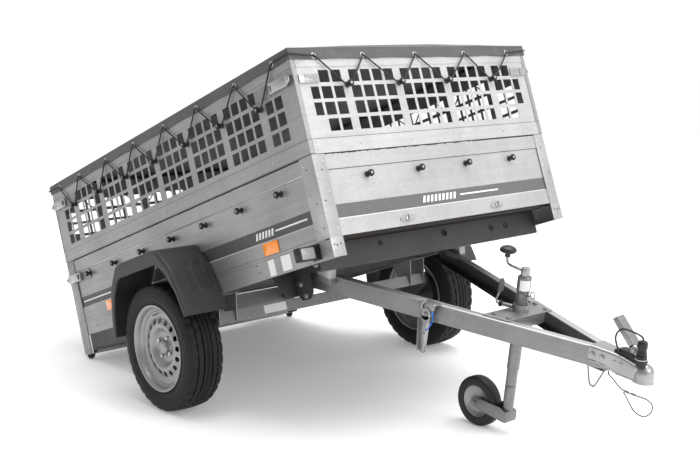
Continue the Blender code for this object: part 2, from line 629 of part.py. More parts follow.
wheel_at = (AXLE[0], -WHEEL_Y, AXLE[1])
tyre = [(0.1755, -0.0725), (0.1860, -0.0740), (0.205, -0.0812), (0.225, -0.0825), (0.248, -0.0790),
        (TYRE_R - 0.006, -0.0680), (TYRE_R, -0.040), (TYRE_R, 0.040), (TYRE_R - 0.006, 0.0680), (0.248, 0.0790),
        (0.225, 0.0825), (0.205, 0.0812), (0.1860, 0.0740), (0.1755, 0.0725)]
both("tyre", "rubber", ring(tyre, wheel_at, (0, -1, 0), 28), at=wheel_at)
def rim_shape():
    """Steel wheel and hub in section, out side first, with a blind bore for the spindle."""
    return [(0.0, 0.036), (0.030, 0.034), (0.034, 0.011), (0.060, 0.011), (0.084, 0.023), (0.104, 0.027),
            (0.150, 0.002), (0.1530, 0.054), (0.1705, 0.0650), (0.1705, 0.0765), (0.1825, 0.0800), (0.1838, 0.0770),
            (0.1738, 0.0735), (0.1738, 0.0620), (0.1560, 0.050), (0.1560, -0.050), (0.1738, -0.0620), (0.1738, -0.0735),
            (0.1838, -0.0770), (0.1825, -0.0800), (0.1705, -0.0765), (0.1530, -0.060), (0.1500, -0.003),
            (0.104, 0.023), (0.084, 0.019), (0.056, 0.006), (0.052, -0.046), (0.0130, -0.050), (0.0130, 0.012), (0.0, 0.014)]


bolts = []
for i in range(4):
    turn = math.pi / 4 + math.pi / 2 * i
    bolts.append(turned([(0.0095, 0.004), (0.0095, 0.026)],
                        (AXLE[0] + math.cos(turn) * 0.046, -WHEEL_Y, AXLE[1] + math.sin(turn) * 0.046), (0, -1, 0), 6))
both("wheel_rim", "silver", turned(rim_shape(), wheel_at, (0, -1, 0), 24), [joined(bolts)], at=wheel_at)

# ---- rear feet -----------------------------------------------------------------------------------------
foot = turned([(0.0, -0.0198), (0.0078, -0.0182), (0.0146, -0.0134), (0.0184, -0.0073), (0.0198, 0.0), (0.0198, 0.0020),
               (0.0044, 0.0020), (0.0044, 0.0120), (0.0, 0.0120)], (-2.056, -0.624, -0.0965), (0, 0, 1), 12)
both("rear_foot", "rubber", foot, at=(-2.056, -0.624, -0.0965))


# ---- over-centre latches ---------------------------------------------------------------------------
def latch(name, a, b, low, high, x_dir):
    """Lever of an over-centre latch on the right side: pivot at a, hooked end at b, both along x."""
    lo, hi = min(a, b), max(a, b)
    out = HALF + 0.0022
    body = block((lo, -out - 0.0140, low), (hi, -out - 0.0115, high))
    walls = [block((lo, -out - 0.0130, low), (hi, -out - 0.0010, low + 0.0025)),
             block((lo, -out - 0.0130, high - 0.0025), (hi, -out - 0.0010, high))]
    roll = rod((a, -out - 0.0065, low), (a, -out - 0.0065, high), 0.0055, 10)
    tip = block((min(b, b + x_dir * 0.004), -out - 0.0165, low + 0.008), (max(b, b + x_dir * 0.004) , -out - 0.0115, high - 0.008))
    both(name, "zinc_bright", body, walls + [roll, tip], at=(a, -out - 0.0065, (low + high) / 2))


latch("latch_front_top", -0.138, -0.014, 0.6425, 0.6835, 1)
latch("latch_rear_top", -1.943, -2.066, 0.6425, 0.6835, -1)
latch("latch_rear_mid", -1.943, -2.066, 0.2660, 0.3080, -1)

# ---- drawbar ---------------------------------------------------------------------------------------------
turn_right = Matrix.Rotation(ARM_ANGLE, 4, "Z")


def on_arm(along, out, z):
    """Point beside the right arm: along its outer face from x = 0, outwards from it."""
    spot = turn_right @ Vector((along, -out, 0.0))
    return (spot.x, spot.y - ARM_Y, z)


def arm_solid(solid):
    return [on_arm(*p) for p in solid[0]], solid[1]


S0, S1 = -0.115 / math.cos(ARM_ANGLE), 1.120 / math.cos(ARM_ANGLE)
arm = arm_solid(prism([(0.0, ARM_LOW), (0.0, ARM_TOP), (-0.035, ARM_TOP), (-0.035, ARM_TOP - 0.003),
                       (-0.003, ARM_TOP - 0.003), (-0.003, ARM_LOW + 0.003), (-0.035, ARM_LOW + 0.003),
                       (-0.035, ARM_LOW)], S0, S1, "X"))
ear = prism([(-0.045, ARM_TOP - 0.030), (0.045, ARM_TOP - 0.030), (0.026, 0.016), (0.012, 0.025), (-0.012, 0.025),
             (-0.026, 0.016)], -0.3900, -0.3560, "Y")
ear_hole = rod((0, -0.42, 0), (0, -0.33, 0), 0.01112, 28)
clip_plane = block((0.9, -0.0006, -0.2), (1.3, 0.2, 0.1))
piece("drawbar_arm_left", "zinc", mirrored(arm), [mirrored(ear)], [mirrored(ear_hole), mirrored(clip_plane)], bar_frame)
lock_at = (0.452, -0.2420, -0.092)
bracket = [prism([(0.415, ARM_TOP + 0.0035), (0.492, ARM_TOP + 0.0035), (0.480, -0.092), (0.466, -0.106),
                  (0.440, -0.106), (0.424, -0.092)], -0.2535, -0.2500, "Y"),
           block((0.420, -0.2515, ARM_TOP), (0.488, -0.2150, ARM_TOP + 0.0035)),
           rod((lock_at[0], -0.2760, lock_at[2]), (lock_at[0], -0.2510, lock_at[2]), 0.0048, 10)]
arm_hole = rod((0.505, -0.25, -0.083), (0.505, -0.19, -0.083), 0.0045, 8)
piece("drawbar_arm_right", "zinc", arm, [ear] + bracket, [ear_hole, clip_plane, arm_hole], bar_frame)

# lock lever: a hanging channel with a hook ring round the pivot
lx, ly, lz = lock_at
lever = prism([(lx - 0.026, lz - 0.028), (lx + 0.022, lz - 0.028), (lx + 0.017, lz - 0.148), (lx + 0.010, lz - 0.156),
               (lx - 0.010, lz - 0.156), (lx - 0.017, lz - 0.148)], ly - 0.0160, ly - 0.0135, "Y")
lever_adds = [prism([(lx - 0.026, lz - 0.026), (lx - 0.0235, lz - 0.026), (lx - 0.0145, lz - 0.150), (lx - 0.0170, lz - 0.150)],
                    ly - 0.0300, ly - 0.0140, "Y"),
              prism([(lx + 0.0195, lz - 0.026), (lx + 0.022, lz - 0.026), (lx + 0.017, lz - 0.150), (lx + 0.0145, lz - 0.150)],
                    ly - 0.0300, ly - 0.0140, "Y"),
              turned([(0.0240, 0.0), (0.0240, 0.0060)], (lx, ly - 0.0130, lz), (0, -1, 0), 16),
              prism([(lx - 0.020, lz - 0.005), (lx + 0.020, lz - 0.005), (lx + 0.022, lz - 0.034), (lx - 0.026, lz - 0.034)],
                    ly - 0.0190, ly - 0.0130, "Y"),
              prism([(lx - 0.022, lz + 0.000), (lx - 0.012, lz + 0.004), (lx - 0.020, lz + 0.028), (lx - 0.006, lz + 0.047),
                     (lx - 0.012, lz + 0.055), (lx - 0.034, lz + 0.036), (lx - 0.034, lz + 0.016)],
                    ly - 0.0185, ly - 0.0135, "Y")]
lever_hole = rod((lx, ly - 0.0120, lz), (lx, ly - 0.05, lz), 0.0053, 12)
piece("tip_lock_lever", "zinc_bright", lever, lever_adds, [lever_hole], bar_frame, lock_at)

# cross plate with the jockey clamp
y_cross = ARM_Y - ARM_SLOPE * JOCKEY_X
bridge = prism([(0.640, -0.158), (0.742, -0.126), (0.742, 0.126), (0.640, 0.158)], ARM_TOP + 0.0006, ARM_TOP + 0.0046, "Z")
skirt = [prism([(y, ARM_TOP - 0.040), (-y, ARM_TOP - 0.040), (-y - 0.004, ARM_TOP + 0.003), (y + 0.004, ARM_TOP + 0.003)],
               x0, x1, "X") for y, x0, x1 in ((-0.086, 0.738, 0.742), (-0.112, 0.640, 0.644))]
sleeve = rod((JOCKEY_X, 0, ARM_TOP - 0.045), (JOCKEY_X, 0, ARM_TOP + 0.034), 0.0300, 24)
lugs = block((0.655, 0.004, ARM_TOP - 0.030), (0.672, 0.012, ARM_TOP + 0.030))
tube_hole = rod((JOCKEY_X, 0, -0.2), (JOCKEY_X, 0, 0.05), 0.02445, 24)
boss = rod((0.630, -0.0360, -0.0325), (0.668, -0.0210, -0.0325), 0.0080, 8)
piece("cross_plate", "zinc", bridge, skirt + [sleeve, boss], [tube_hole], bar_frame)

# jockey wheel unit
tube = turned([(0.0240, -0.280), (0.0240, 0.028), (0.0262, 0.030), (0.0262, 0.086), (0.0240, 0.090), (0.0, 0.090)],
              (JOCKEY_X, 0, 0), (0, 0, 1), 24)
bore = rod((JOCKEY_X, 0, -0.30), (JOCKEY_X, 0, 0.070), 0.0212, 24)
bore_top = rod((JOCKEY_X, 0, 0.06), (JOCKEY_X, 0, 0.10), 0.0085, 12)
piece("jockey_tube", "zinc_bright", tube, [], [bore, bore_top], bar_frame, (JOCKEY_X, 0, 0))
leg = rod((JOCKEY_X, 0, -0.4605), (JOCKEY_X, 0, -0.020), 0.0209, 24)
leg_bore = rod((JOCKEY_X, 0, -0.345), (JOCKEY_X, 0, 0.0), 0.0105, 12)
fork = []
for s in (-1, 1):
    y0, y1 = sorted((s * 0.0275, s * 0.0315))
    fork.append(prism([(JW_X - 0.020, JW_Z - 0.020), (JOCKEY_X + 0.0205, -0.4945), (JOCKEY_X + 0.0205, -0.4520),
                       (JOCKEY_X - 0.02, -0.4420), (JW_X + 0.004, JW_Z + 0.022), (JW_X - 0.018, JW_Z + 0.014)], y0, y1, "Y"))
crossbar = block((JOCKEY_X - 0.0205, -0.0300, -0.4945), (JOCKEY_X + 0.0205, 0.0300, -0.4500))
pin = rod((JW_X, -0.0360, JW_Z), (JW_X, 0.0360, JW_Z), 0.0070, 12)
piece("jockey_leg", "zinc_dark", leg, [crossbar] + fork + [pin], [leg_bore], bar_frame, (JOCKEY_X, 0, -0.28))
wheel = [(0.0073, -0.0255), (0.0160, -0.0255), (0.0160, -0.0120), (0.0600, -0.0140), (0.0660, -0.0220), (0.0900, -0.0250),
         (JW_R, -0.0150), (JW_R, 0.0150), (0.0900, 0.0250), (0.0660, 0.0220),
         (0.0600, 0.0140), (0.0160, 0.0120), (0.0160, 0.0255), (0.0073, 0.0255)]
piece("jockey_wheel", "rubber", ring(wheel, (JW_X, 0, JW_Z), (0, 1, 0), 24), frame=bar_frame, at=(JW_X, 0, JW_Z))
crank = turned([(0.0170, 0.0906), (0.0170, 0.1210), (0.0150, 0.1230), (0.0, 0.1230)], (JOCKEY_X, 0, 0), (0, 0, 1), 16)
crank_adds = [rod((JOCKEY_X, 0, -0.240), (JOCKEY_X, 0, 0.095), 0.0080, 12),
              swept([(JOCKEY_X - 0.010, 0, 0.1080), (JOCKEY_X - 0.075, 0, 0.1110), (JOCKEY_X - 0.088, 0, 0.1160),
                     (JOCKEY_X - 0.0935, 0, 0.1300), (JOCKEY_X - 0.0945, 0, 0.1440)], 0.0052, 8),
              turned([(0.0110, 0.1400), (0.0105, 0.1520), (0.0180, 0.1545), (0.0300, 0.1590), (0.0325, 0.1650),
                      (0.0290, 0.1730), (0.0170, 0.1800), (0.0, 0.1825)], (JOCKEY_X - 0.0945, 0, 0), (0, 0, 1), 16)]
piece("jockey_crank", "zinc_bright", crank, crank_adds, [], bar_frame, (JOCKEY_X, 0, 0.1080))

# clamp lever: bent bar with a grey grip, on the boss beside the sleeve
clamp_at = (0.630, -0.0360, -0.0325)
along = (Vector((0.668, -0.0210, 0)) - Vector((0.630, -0.0360, 0))).normalized()
hub_a = Vector(clamp_at) - along * 0.0006
bar = rod(hub_a, hub_a - along * 0.0120, 0.0090, 10)
mid = hub_a - along * 0.0080
grip_low = mid + Vector((-0.006, -0.002, 0.045))
clamp_adds = [swept([mid, mid + Vector((-0.012, -0.006, 0.003)), mid + Vector((-0.014, -0.006, 0.020)), grip_low], 0.0042, 8),
              turned([(0.0060, 0.0), (0.0105, 0.006), (0.0105, 0.038), (0.0070, 0.052), (0.0, 0.055)],
                     grip_low, (0.08, 0.0, 1.0), 10)]
piece("clamp_lever", "plastic", bar, clamp_adds, [], bar_frame, tuple(hub_a))

# coupling head: an inverted channel over the arm ends with the ball cup in front
def lofted(sections):
    """A body through rectangular sections (x, half width, low, top)."""
    points, faces = [], []
    for x, half, low, top in sections:
        points += [(x, -half, low), (x, half, low), (x, half, top), (x, -half, top)]
    for k in range(len(sections) - 1):
        for i in range(4):
            j = (i + 1) % 4
            faces.append((4 * k + i, 4 * k + j, 4 * k + 4 + j, 4 * k + 4 + i))
    last = 4 * (len(sections) - 1)
    return points, faces + [(0, 1, 2, 3), (last, last + 1, last + 2, last + 3)]


housing = lofted([(1.045, 0.0467, -0.1060, -0.0490), (1.085, 0.0420, -0.1040, -0.0490), (1.125, 0.0378, -0.1100, -0.0490),
                  (1.165, 0.0362, -0.1190, -0.0505), (1.210, 0.0350, -0.1183, -0.0580), (1.240, 0.0330, -0.1178, -0.0640)])
room = lofted([(1.030, 0.0482, -0.2000, -0.0526), (1.085, 0.0389, -0.2000, -0.0526), (1.125, 0.0347, -0.2000, -0.0526),
               (1.165, 0.0330, -0.2000, -0.0541), (1.210, 0.0318, -0.2000, -0.0616), (1.2385, 0.0296, -0.2000, -0.0680)])
cup = turned([(0.0, 0.0370), (0.0150, 0.0340), (0.0265, 0.0265), (0.0340, 0.0150), (0.0360, 0.0), (0.0365, -0.0260),
              (0.0, -0.0260)], CUP, (0, 0, 1), 18)
ball_room = turned([(0.0, 0.0315), (0.0130, 0.0290), (0.0225, 0.0225), (0.0290, 0.0130), (0.0315, 0.0), (0.0320, -0.0300),
                    (0.0, -0.0300)], CUP, (0, 0, 1), 18, 0.1)
base = prism([(1.130, -0.0510), (1.165, -0.0520), (1.222, -0.0625), (1.222, -0.0440), (1.205, -0.0340), (1.150, -0.0320),
              (1.130, -0.0400)], -0.0210, 0.0210, "Y")
handle_pin = rod((1.2050, -0.0262, -0.0180), (1.2050, 0.0262, -0.0180), 0.0050, 12)
cheek = [prism([(1.188, -0.0400), (1.2195, -0.0480), (1.2160, -0.0120), (1.205, -0.0065), (1.194, -0.0120)],
               min(s * 0.0130, s * 0.0162), max(s * 0.0130, s * 0.0162), "Y") for s in (-1, 1)]
piece("coupling_head", "zinc_bright", housing, [cup, base] + cheek + [handle_pin], [room, ball_room], bar_frame)

# coupling handle: channel lever, raised
H = (1.2050, 0.0, -0.0180)
lean = math.radians(43.0)
back = Vector((-math.cos(lean), 0, math.sin(lean)))
over = Vector((math.sin(lean), 0, math.cos(lean)))


def on_handle(a, y, b):
    return tuple(Vector(H) + back * a + Vector((0, y, 0)) + over * b)


def handle_prism(section, a0, a1):
    points, faces = prism(section, a0, a1, "X")
    return [on_handle(*p) for p in points], faces


channel_section = [(-0.0215, -0.0100), (-0.0190, -0.0100), (-0.0190, 0.0090), (0.0190, 0.0090), (0.0190, -0.0100),
                   (0.0215, -0.0100), (0.0215, 0.0115), (-0.0215, 0.0115)]
grip = handle_prism(channel_section, -0.0100, 0.1270)
end = handle_prism([(-0.0200, -0.0080), (0.0200, -0.0080), (0.0200, 0.0100), (-0.0200, 0.0100)], 0.1240, 0.1262)
top_cut = handle_prism([(-0.0170, 0.0070), (0.0170, 0.0070), (0.0170, 0.0200), (-0.0170, 0.0200)], -0.0200, 0.0140)
pin_hole = rod((H[0], -0.04, H[2]), (H[0], 0.04, H[2]), 0.0053, 12)
piece("coupling_handle", "zinc_dark", grip, [end], [top_cut, pin_hole], bar_frame, H)

# bent wire under the coupling end, held between the arm flanges
wire = swept([(1.018, 0.0, -0.1180), (1.020, 0.0, -0.1440), (1.034, 0.0, -0.1980), (1.040, 0.0, -0.2100), (1.050, 0.0, -0.2130),
              (1.060, 0.0, -0.2080), (1.086, 0.0, -0.1500), (1.092, 0.0, -0.1400), (1.094, 0.0, -0.1330)], 0.0032, 8)
strap = block((1.006, -0.0300, -0.1338), (1.104, 0.0300, -0.1292))
piece("wire_holder", "zinc_bright", strap, [wire], [], bar_frame)

# ---- cords -------------------------------------------------------------------------------------------------
plug_at = (1.2430, -0.0300, 0.0)
plug = turned([(0.0, -0.0560), (0.0180, -0.0560), (0.0215, -0.0520), (0.0215, -0.0440), (0.0225, -0.0430), (0.0225, -0.0380),
               (0.0200, -0.0360), (0.0150, 0.0020), (0.0160, 0.0060), (0.0160, 0.0260), (0.0120, 0.0300), (0.0, 0.0300)],
              plug_at, (-0.06, 0.0, 1.0), 18)
piece("plug", "plastic", plug, frame=bar_frame, at=plug_at)
lean_top = Vector(plug_at) + Vector((-0.06, 0, 1)).normalized() * 0.0310
cable = smooth([lean_top, lean_top + Vector((-0.0006, 0.0, 0.0060)), (1.228, -0.0310, 0.0450), (1.190, -0.0330, 0.0490), (1.160, -0.0345, 0.0460),
                (1.141, -0.0345, 0.0280), (1.137, -0.0345, 0.0050), (1.144, -0.0335, -0.0150), (1.152, -0.0300, -0.0330),
                (1.1555, -0.0270, -0.0430)], 22)
cord("plug_cable", "plastic", cable, 0.0034, frame=bar_frame)
wire_rope = smooth([(1.112, -0.0080, -0.1330), (1.120, -0.0120, -0.1420), (1.141, -0.0140, -0.1510), (1.165, -0.0145, -0.1660),
                    (1.192, -0.0150, -0.1745), (1.244, -0.0150, -0.1730), (1.284, -0.0150, -0.1720), (1.307, -0.0150, -0.1860),
                    (1.304, -0.0150, -0.2110), (1.280, -0.0150, -0.2350), (1.243, -0.0150, -0.2310), (1.218, -0.0150, -0.2100),
                    (1.199, -0.0155, -0.1890), (1.1900, -0.0190, -0.1790)], 34)
cord("safety_cable", "steel_rope", wire_rope, 0.0020, frame=bar_frame)
lanyard = smooth([(0.4800, -0.2580, -0.0740), (0.4900, -0.2620, -0.0800), (0.5000, -0.2680, -0.0960), (0.4990, -0.2730, -0.1150),
                  (0.4880, -0.2760, -0.1360), (0.4790, -0.2765, -0.1450)], 16)
cord("lock_lanyard", "blue", lanyard, 0.0016, frame=bar_frame)
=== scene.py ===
"""Looks of a small galvanised tipping box trailer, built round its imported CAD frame."""
import math

import bmesh
import bpy
from mathutils import Matrix, Vector, noise


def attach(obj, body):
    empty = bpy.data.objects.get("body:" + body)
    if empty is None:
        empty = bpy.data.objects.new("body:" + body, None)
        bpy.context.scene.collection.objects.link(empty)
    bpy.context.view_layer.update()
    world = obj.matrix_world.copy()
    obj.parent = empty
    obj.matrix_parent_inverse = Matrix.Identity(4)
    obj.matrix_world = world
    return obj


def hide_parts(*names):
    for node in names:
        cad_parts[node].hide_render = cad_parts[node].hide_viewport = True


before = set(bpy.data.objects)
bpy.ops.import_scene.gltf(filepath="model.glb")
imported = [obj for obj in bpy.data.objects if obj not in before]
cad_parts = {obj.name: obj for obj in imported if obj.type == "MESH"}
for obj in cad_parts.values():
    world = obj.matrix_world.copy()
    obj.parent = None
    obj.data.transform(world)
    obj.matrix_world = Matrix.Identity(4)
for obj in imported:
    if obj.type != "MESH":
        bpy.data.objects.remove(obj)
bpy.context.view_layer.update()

R = math.radians
FORE, SIDEWAYS, UP = (1, 0, 0), (0, -1, 0), (0, 0, 1)

# ---- the two frames of the trailer: tipped box and drawbar ----
BOX = Matrix.Translation((0.6708, 0.0, 0.7468)) @ Matrix.Rotation(-R(18.0), 4, "Y")
PIVOT = Vector((-0.380, 0.0, 0.020))
BAR = Matrix.Translation(BOX @ PIVOT) @ Matrix.Rotation(R(9.0), 4, "Y")
# box: half width, length, height of the seam under the extensions, outer face of the sills
HALF, LENGTH, SEAM, SILL_FACE = 0.645, 2.08, 0.372, 0.6425
# drawbar arms: slope, offset from the middle, top and bottom
ARM_SLOPE, ARM_Y, ARM_TOP, ARM_LOW = 0.3121, 0.369, -0.0535, -0.1285
ARM_ANGLE = math.atan(ARM_SLOPE)
# wheels in the box frame; jockey tube, jockey wheel and coupling cup in the drawbar frame
AXLE, WHEEL_Y = (-1.052, -0.160), 0.744
JOCKEY_X, JW = 0.691, (0.5475, -0.4685)
CUP = (1.245, 0.0, -0.093)
# where the knobs and eyelets stand, and their heights
KNOB_LOW, KNOB_HIGH, SIDE_EYE_Z, END_EYE_Z = 0.285, 0.630, 0.748, 0.742
SIDE_BARS = [-1.04 + 0.27 * i for i in range(-3, 4)]
FRONT_BARS = [-0.399, -0.133, 0.133, 0.399]
FRONT_EYES = [-0.533, -0.293, -0.015, 0.268, 0.533]
SIDE_EYES = [-0.104, -0.360, -0.647, -0.917, -1.190, -1.463, -1.750, -1.976]

# ---- camera ----
camera = bpy.data.objects.new("camera", bpy.data.cameras.new("camera"))
bpy.context.scene.collection.objects.link(camera)
right, up = Vector((0.65683, 0.75374, -0.02131)), Vector((-0.10214, 0.11694, 0.98787))
ahead = Vector((-0.74709, 0.64669, -0.15380))
camera.matrix_world = Matrix.Translation((3.56052, -3.07172, 1.41764)) @ Matrix((right, up,
    -ahead)).transposed().to_4x4()
camera.data.lens, camera.data.sensor_width = 55.71, 36.0
bpy.context.scene.camera = camera


# ---- material nodes ----
class Graph:
    """A Principled material with short names for the nodes that it uses."""

    def __init__(self, name, place=None):
        self.made = bpy.data.materials.new(name)
        self.made.use_nodes = True
        self.tree = self.made.node_tree
        self.shader = self.tree.nodes["Principled BSDF"]
        coords = self.node("ShaderNodeTexCoord")
        self.spot = coords.outputs["Object"]
        if place is not None:
            back = place.inverted()
            turn = self.node("ShaderNodeMapping")
            turn.inputs["Location"].default_value = back.translation
            turn.inputs["Rotation"].default_value = back.to_euler("XYZ")
            self.link(self.spot, turn.inputs["Vector"])
            self.spot = turn.outputs["Vector"]

    def node(self, kind, **settings):
        made = self.tree.nodes.new(kind)
        for key, value in settings.items():
            setattr(made, key, value)
        return made

    def link(self, a, b):
        if isinstance(a, (int, float)):
            b.default_value = a
        else:
            self.tree.links.new(a, b)

    def scaled(self, x, y, z):
        made = self.node("ShaderNodeVectorMath", operation="MULTIPLY")
        self.link(self.spot, made.inputs[0])
        made.inputs[1].default_value = (x, y, z)
        return made.outputs["Vector"]

    def noise(self, scale, detail=3.0, rough=0.5, at=None):
        made = self.node("ShaderNodeTexNoise")
        self.link(at or self.spot, made.inputs["Vector"])
        made.inputs["Scale"].default_value = scale
        made.inputs["Detail"].default_value = detail
        made.inputs["Roughness"].default_value = rough
        return made.outputs["Fac"]

    def cells(self, scale, out="Color"):
        made = self.node("ShaderNodeTexVoronoi")
        self.link(self.spot, made.inputs["Vector"])
        made.inputs["Scale"].default_value = scale
        if out == "Color":
            grey = self.node("ShaderNodeRGBToBW")
            self.link(made.outputs["Color"], grey.inputs[0])
            return grey.outputs[0]
        return made.outputs["Distance"]

    def wave(self, scale, direction):
        made = self.node("ShaderNodeTexWave", bands_direction=direction)
        self.link(self.spot, made.inputs["Vector"])
        made.inputs["Scale"].default_value = scale
        return made.outputs["Fac"]

    def math(self, operation, a, b=0.0, c=0.0):
        made = self.node("ShaderNodeMath", operation=operation)
        for value, socket in zip((a, b, c), made.inputs):
            self.link(value, socket)
        return made.outputs[0]

    def mix(self, parts):
        """Weighted sum of (value, weight)."""
        total = 0.0
        for value, weight in parts:
            total = self.math("MULTIPLY_ADD", value, weight, total)
        return total

    def span(self, value, low, high, to_low=0.0, to_high=1.0):
        made = self.node("ShaderNodeMapRange")
        self.link(value, made.inputs["Value"])
        for key, v in (("From Min", low), ("From Max", high), ("To Min", to_low), ("To Max", to_high)):
            made.inputs[key].default_value = v
        return made.outputs["Result"]

    def ramp(self, value, stops):
        made = self.node("ShaderNodeValToRGB")
        self.link(value, made.inputs["Fac"])
        while len(made.color_ramp.elements) < len(stops):
            made.color_ramp.elements.new(0.5)
        for element, (where, colour) in zip(made.color_ramp.elements, stops):
            element.position = where
            element.color = (*colour, 1.0)
        return made.outputs["Color"]

    def blend(self, share, a, b):
        made = self.node("ShaderNodeMix", data_type="RGBA")
        self.link(share, made.inputs["Factor"])
        for value, socket in ((a, made.inputs[6]), (b, made.inputs[7])):
            if isinstance(value, tuple):
                socket.default_value = (*value, 1.0)
            else:
                self.link(value, socket)
        return made.outputs[2]

    def parted(self):
        made = self.node("ShaderNodeSeparateXYZ")
        self.link(self.spot, made.inputs[0])
        return made.outputs[0], made.outputs[1], made.outputs[2]

    def inside(self, value, low, high):
        return self.math("MULTIPLY", self.math("GREATER_THAN", value, low), self.math("LESS_THAN", value, high))

    def bump(self, height, strength, distance=0.001):
        made = self.node("ShaderNodeBump")
        self.link(height, made.inputs["Height"])
        made.inputs["Strength"].default_value = strength
        made.inputs["Distance"].default_value = distance
        self.link(made.outputs["Normal"], self.shader.inputs["Normal"])

    def finish(self, colour=None, rough=None, **constants):
        if colour is not None:
            if isinstance(colour, tuple):
                self.shader.inputs["Base Color"].default_value = (*colour, 1.0)
            else:
                self.link(colour, self.shader.inputs["Base Color"])
        if rough is not None:
            self.link(rough, self.shader.inputs["Roughness"])
        for key, value in constants.items():
            self.shader.inputs[key.replace("_", " ")].default_value = value
        return self.made


def grey(v):
    return (v, v, v * 1.01)


def zinc(name, place=BOX, tone=0.42, metal=0.55, rough=0.40, paint=None, spangle=0.10, streak=0.28, painted_crease_lines=(),
         top=None):
    """Galvanised sheet: cloudy tone, rolling streaks and a faint crystal pattern.

    The crease lines (height, half width, tone) are painted shade and painted highlights along the creases, top a
    (height, tone) above which the tone changes, a painted highlight on the upward faces, and paint a band (low,
    high, limits, colour).
    """
    g = Graph(name, place)
    cloud = g.noise(5.0, 4.0, 0.55)
    rolled = g.noise(1.0, 5.0, 0.6, at=g.scaled(1.3, 1.3, 70.0))
    crystal = g.cells(85.0)
    fine = g.noise(420.0, 2.0)
    value = g.mix([(cloud, 0.5), (rolled, streak), (crystal, spangle), (fine, 0.08)])
    colour = g.ramp(value, [(0.28, grey(tone * 0.78)), (0.50, grey(tone)), (0.72, grey(min(1.0, tone * 1.20)))])
    gloss = g.span(value, 0.3, 0.75, rough + 0.08, rough - 0.07)
    if paint:
        x, y, z = g.parted()
        low, high, ends, shade = paint
        mask = g.inside(z, low, high)
        for axis, a, b in ends:
            mask = g.math("MULTIPLY", mask, g.inside({"x": x, "y": y}[axis], a, b))
        worn = g.span(g.noise(60.0, 4.0, 0.7), 0.25, 0.7, 0.92, 1.0)
        mask = g.math("MULTIPLY", mask, worn)
        colour = g.blend(mask, colour, shade)
        g.link(g.span(mask, 0.0, 1.0, metal, 0.05), g.shader.inputs["Metallic"])
        gloss = g.math("MULTIPLY_ADD", mask, 0.08, gloss)
    else:
        g.shader.inputs["Metallic"].default_value = metal
    if painted_crease_lines or top:
        x, y, z = g.parted()
        # painted shade and painted highlights along the creases of the sheet
        for at, half, shade in painted_crease_lines:
            near = g.inside(z, at - half, at + half)
            colour = g.blend(g.math("MULTIPLY", near, 0.85), colour, grey(shade))
        # painted highlight: the faces above this height are lighter, as if lit from above
        if top:
            colour = g.blend(g.math("GREATER_THAN", z, top[0]), colour, grey(top[1]))
    g.bump(g.mix([(fine, 0.5), (crystal, 0.25), (rolled, 0.4)]), 0.10, 0.0006)
    return g.finish(colour, gloss)


def speckled(name, colour, rough, metal=0.0, grain=300.0, depth=0.25, vary=0.25, **more):
    """Moulded plastic, rubber or paint: a grained surface with slight changes in tone."""
    g = Graph(name)
    cloud = g.noise(9.0, 4.0, 0.6)
    fine = g.noise(grain, 3.0, 0.6)
    value = g.mix([(cloud, 0.65), (fine, 0.35)])
    dark, light = tuple(c * (1 - vary) for c in colour), tuple(min(1.0, c * (1 + vary)) for c in colour)
    g.bump(fine, depth, 0.0006)
    g.shader.inputs["Metallic"].default_value = metal
    return g.finish(g.ramp(value, [(0.3, dark), (0.7, light)]),
                    g.span(value, 0.3, 0.7, rough - 0.06, rough + 0.06), **more)


# The front sheets are lit copies of the zinc, and the side, rear and tailgate sheets are shaded copies of it. Their
# tones are painted light and painted shade, and the side stripe is a darker painted-shade copy of the front stripe.
# The crease lines are painted shade and painted highlights.
zinc_painted_light_front = zinc("zinc_painted_light_front", tone=0.50, metal=0.45, rough=0.44, streak=0.22, painted_crease_lines=[(0.4325, 0.0014, 0.10)])
zinc_painted_light_board = zinc("zinc_painted_light_board", tone=0.44, metal=0.45, rough=0.44, streak=0.22,
                  paint=(0.137, 0.187, [("y", -0.585, 0.587)], (0.105, 0.105, 0.11)),
                  painted_crease_lines=[(0.3165, 0.0014, 0.08), (0.1345, 0.0009, 0.80)])
zinc_post = zinc("zinc_post", tone=0.42, metal=0.50, rough=0.40, streak=0.15)
zinc_painted_shade_side = zinc("zinc_painted_shade_side", tone=0.33, metal=0.55, painted_crease_lines=[(0.4325, 0.0012, 0.09), (0.3800, 0.0010, 0.06)])
zinc_painted_shade_side_board = zinc("zinc_painted_shade_side_board", tone=0.325, metal=0.55,
                       paint=(0.137, 0.187, [("x", -2.002, -0.078)], (0.060, 0.060, 0.063)),
                       painted_crease_lines=[(0.3165, 0.0014, 0.75), (0.3140, 0.0010, 0.08), (0.1340, 0.0015, 0.78),
                              (0.0800, 0.0010, 0.10)])
# Near-black zinc for the parts under the box: painted shade, where the box shades them.
zinc_dark = zinc("zinc_dark", tone=0.060, metal=0.5, rough=0.5)
zinc_painted_shade_under = zinc("zinc_painted_shade_under", tone=0.055, metal=0.5, rough=0.5)
zinc_axle = zinc("zinc_axle", tone=0.24, metal=0.6, rough=0.42, spangle=0.25)
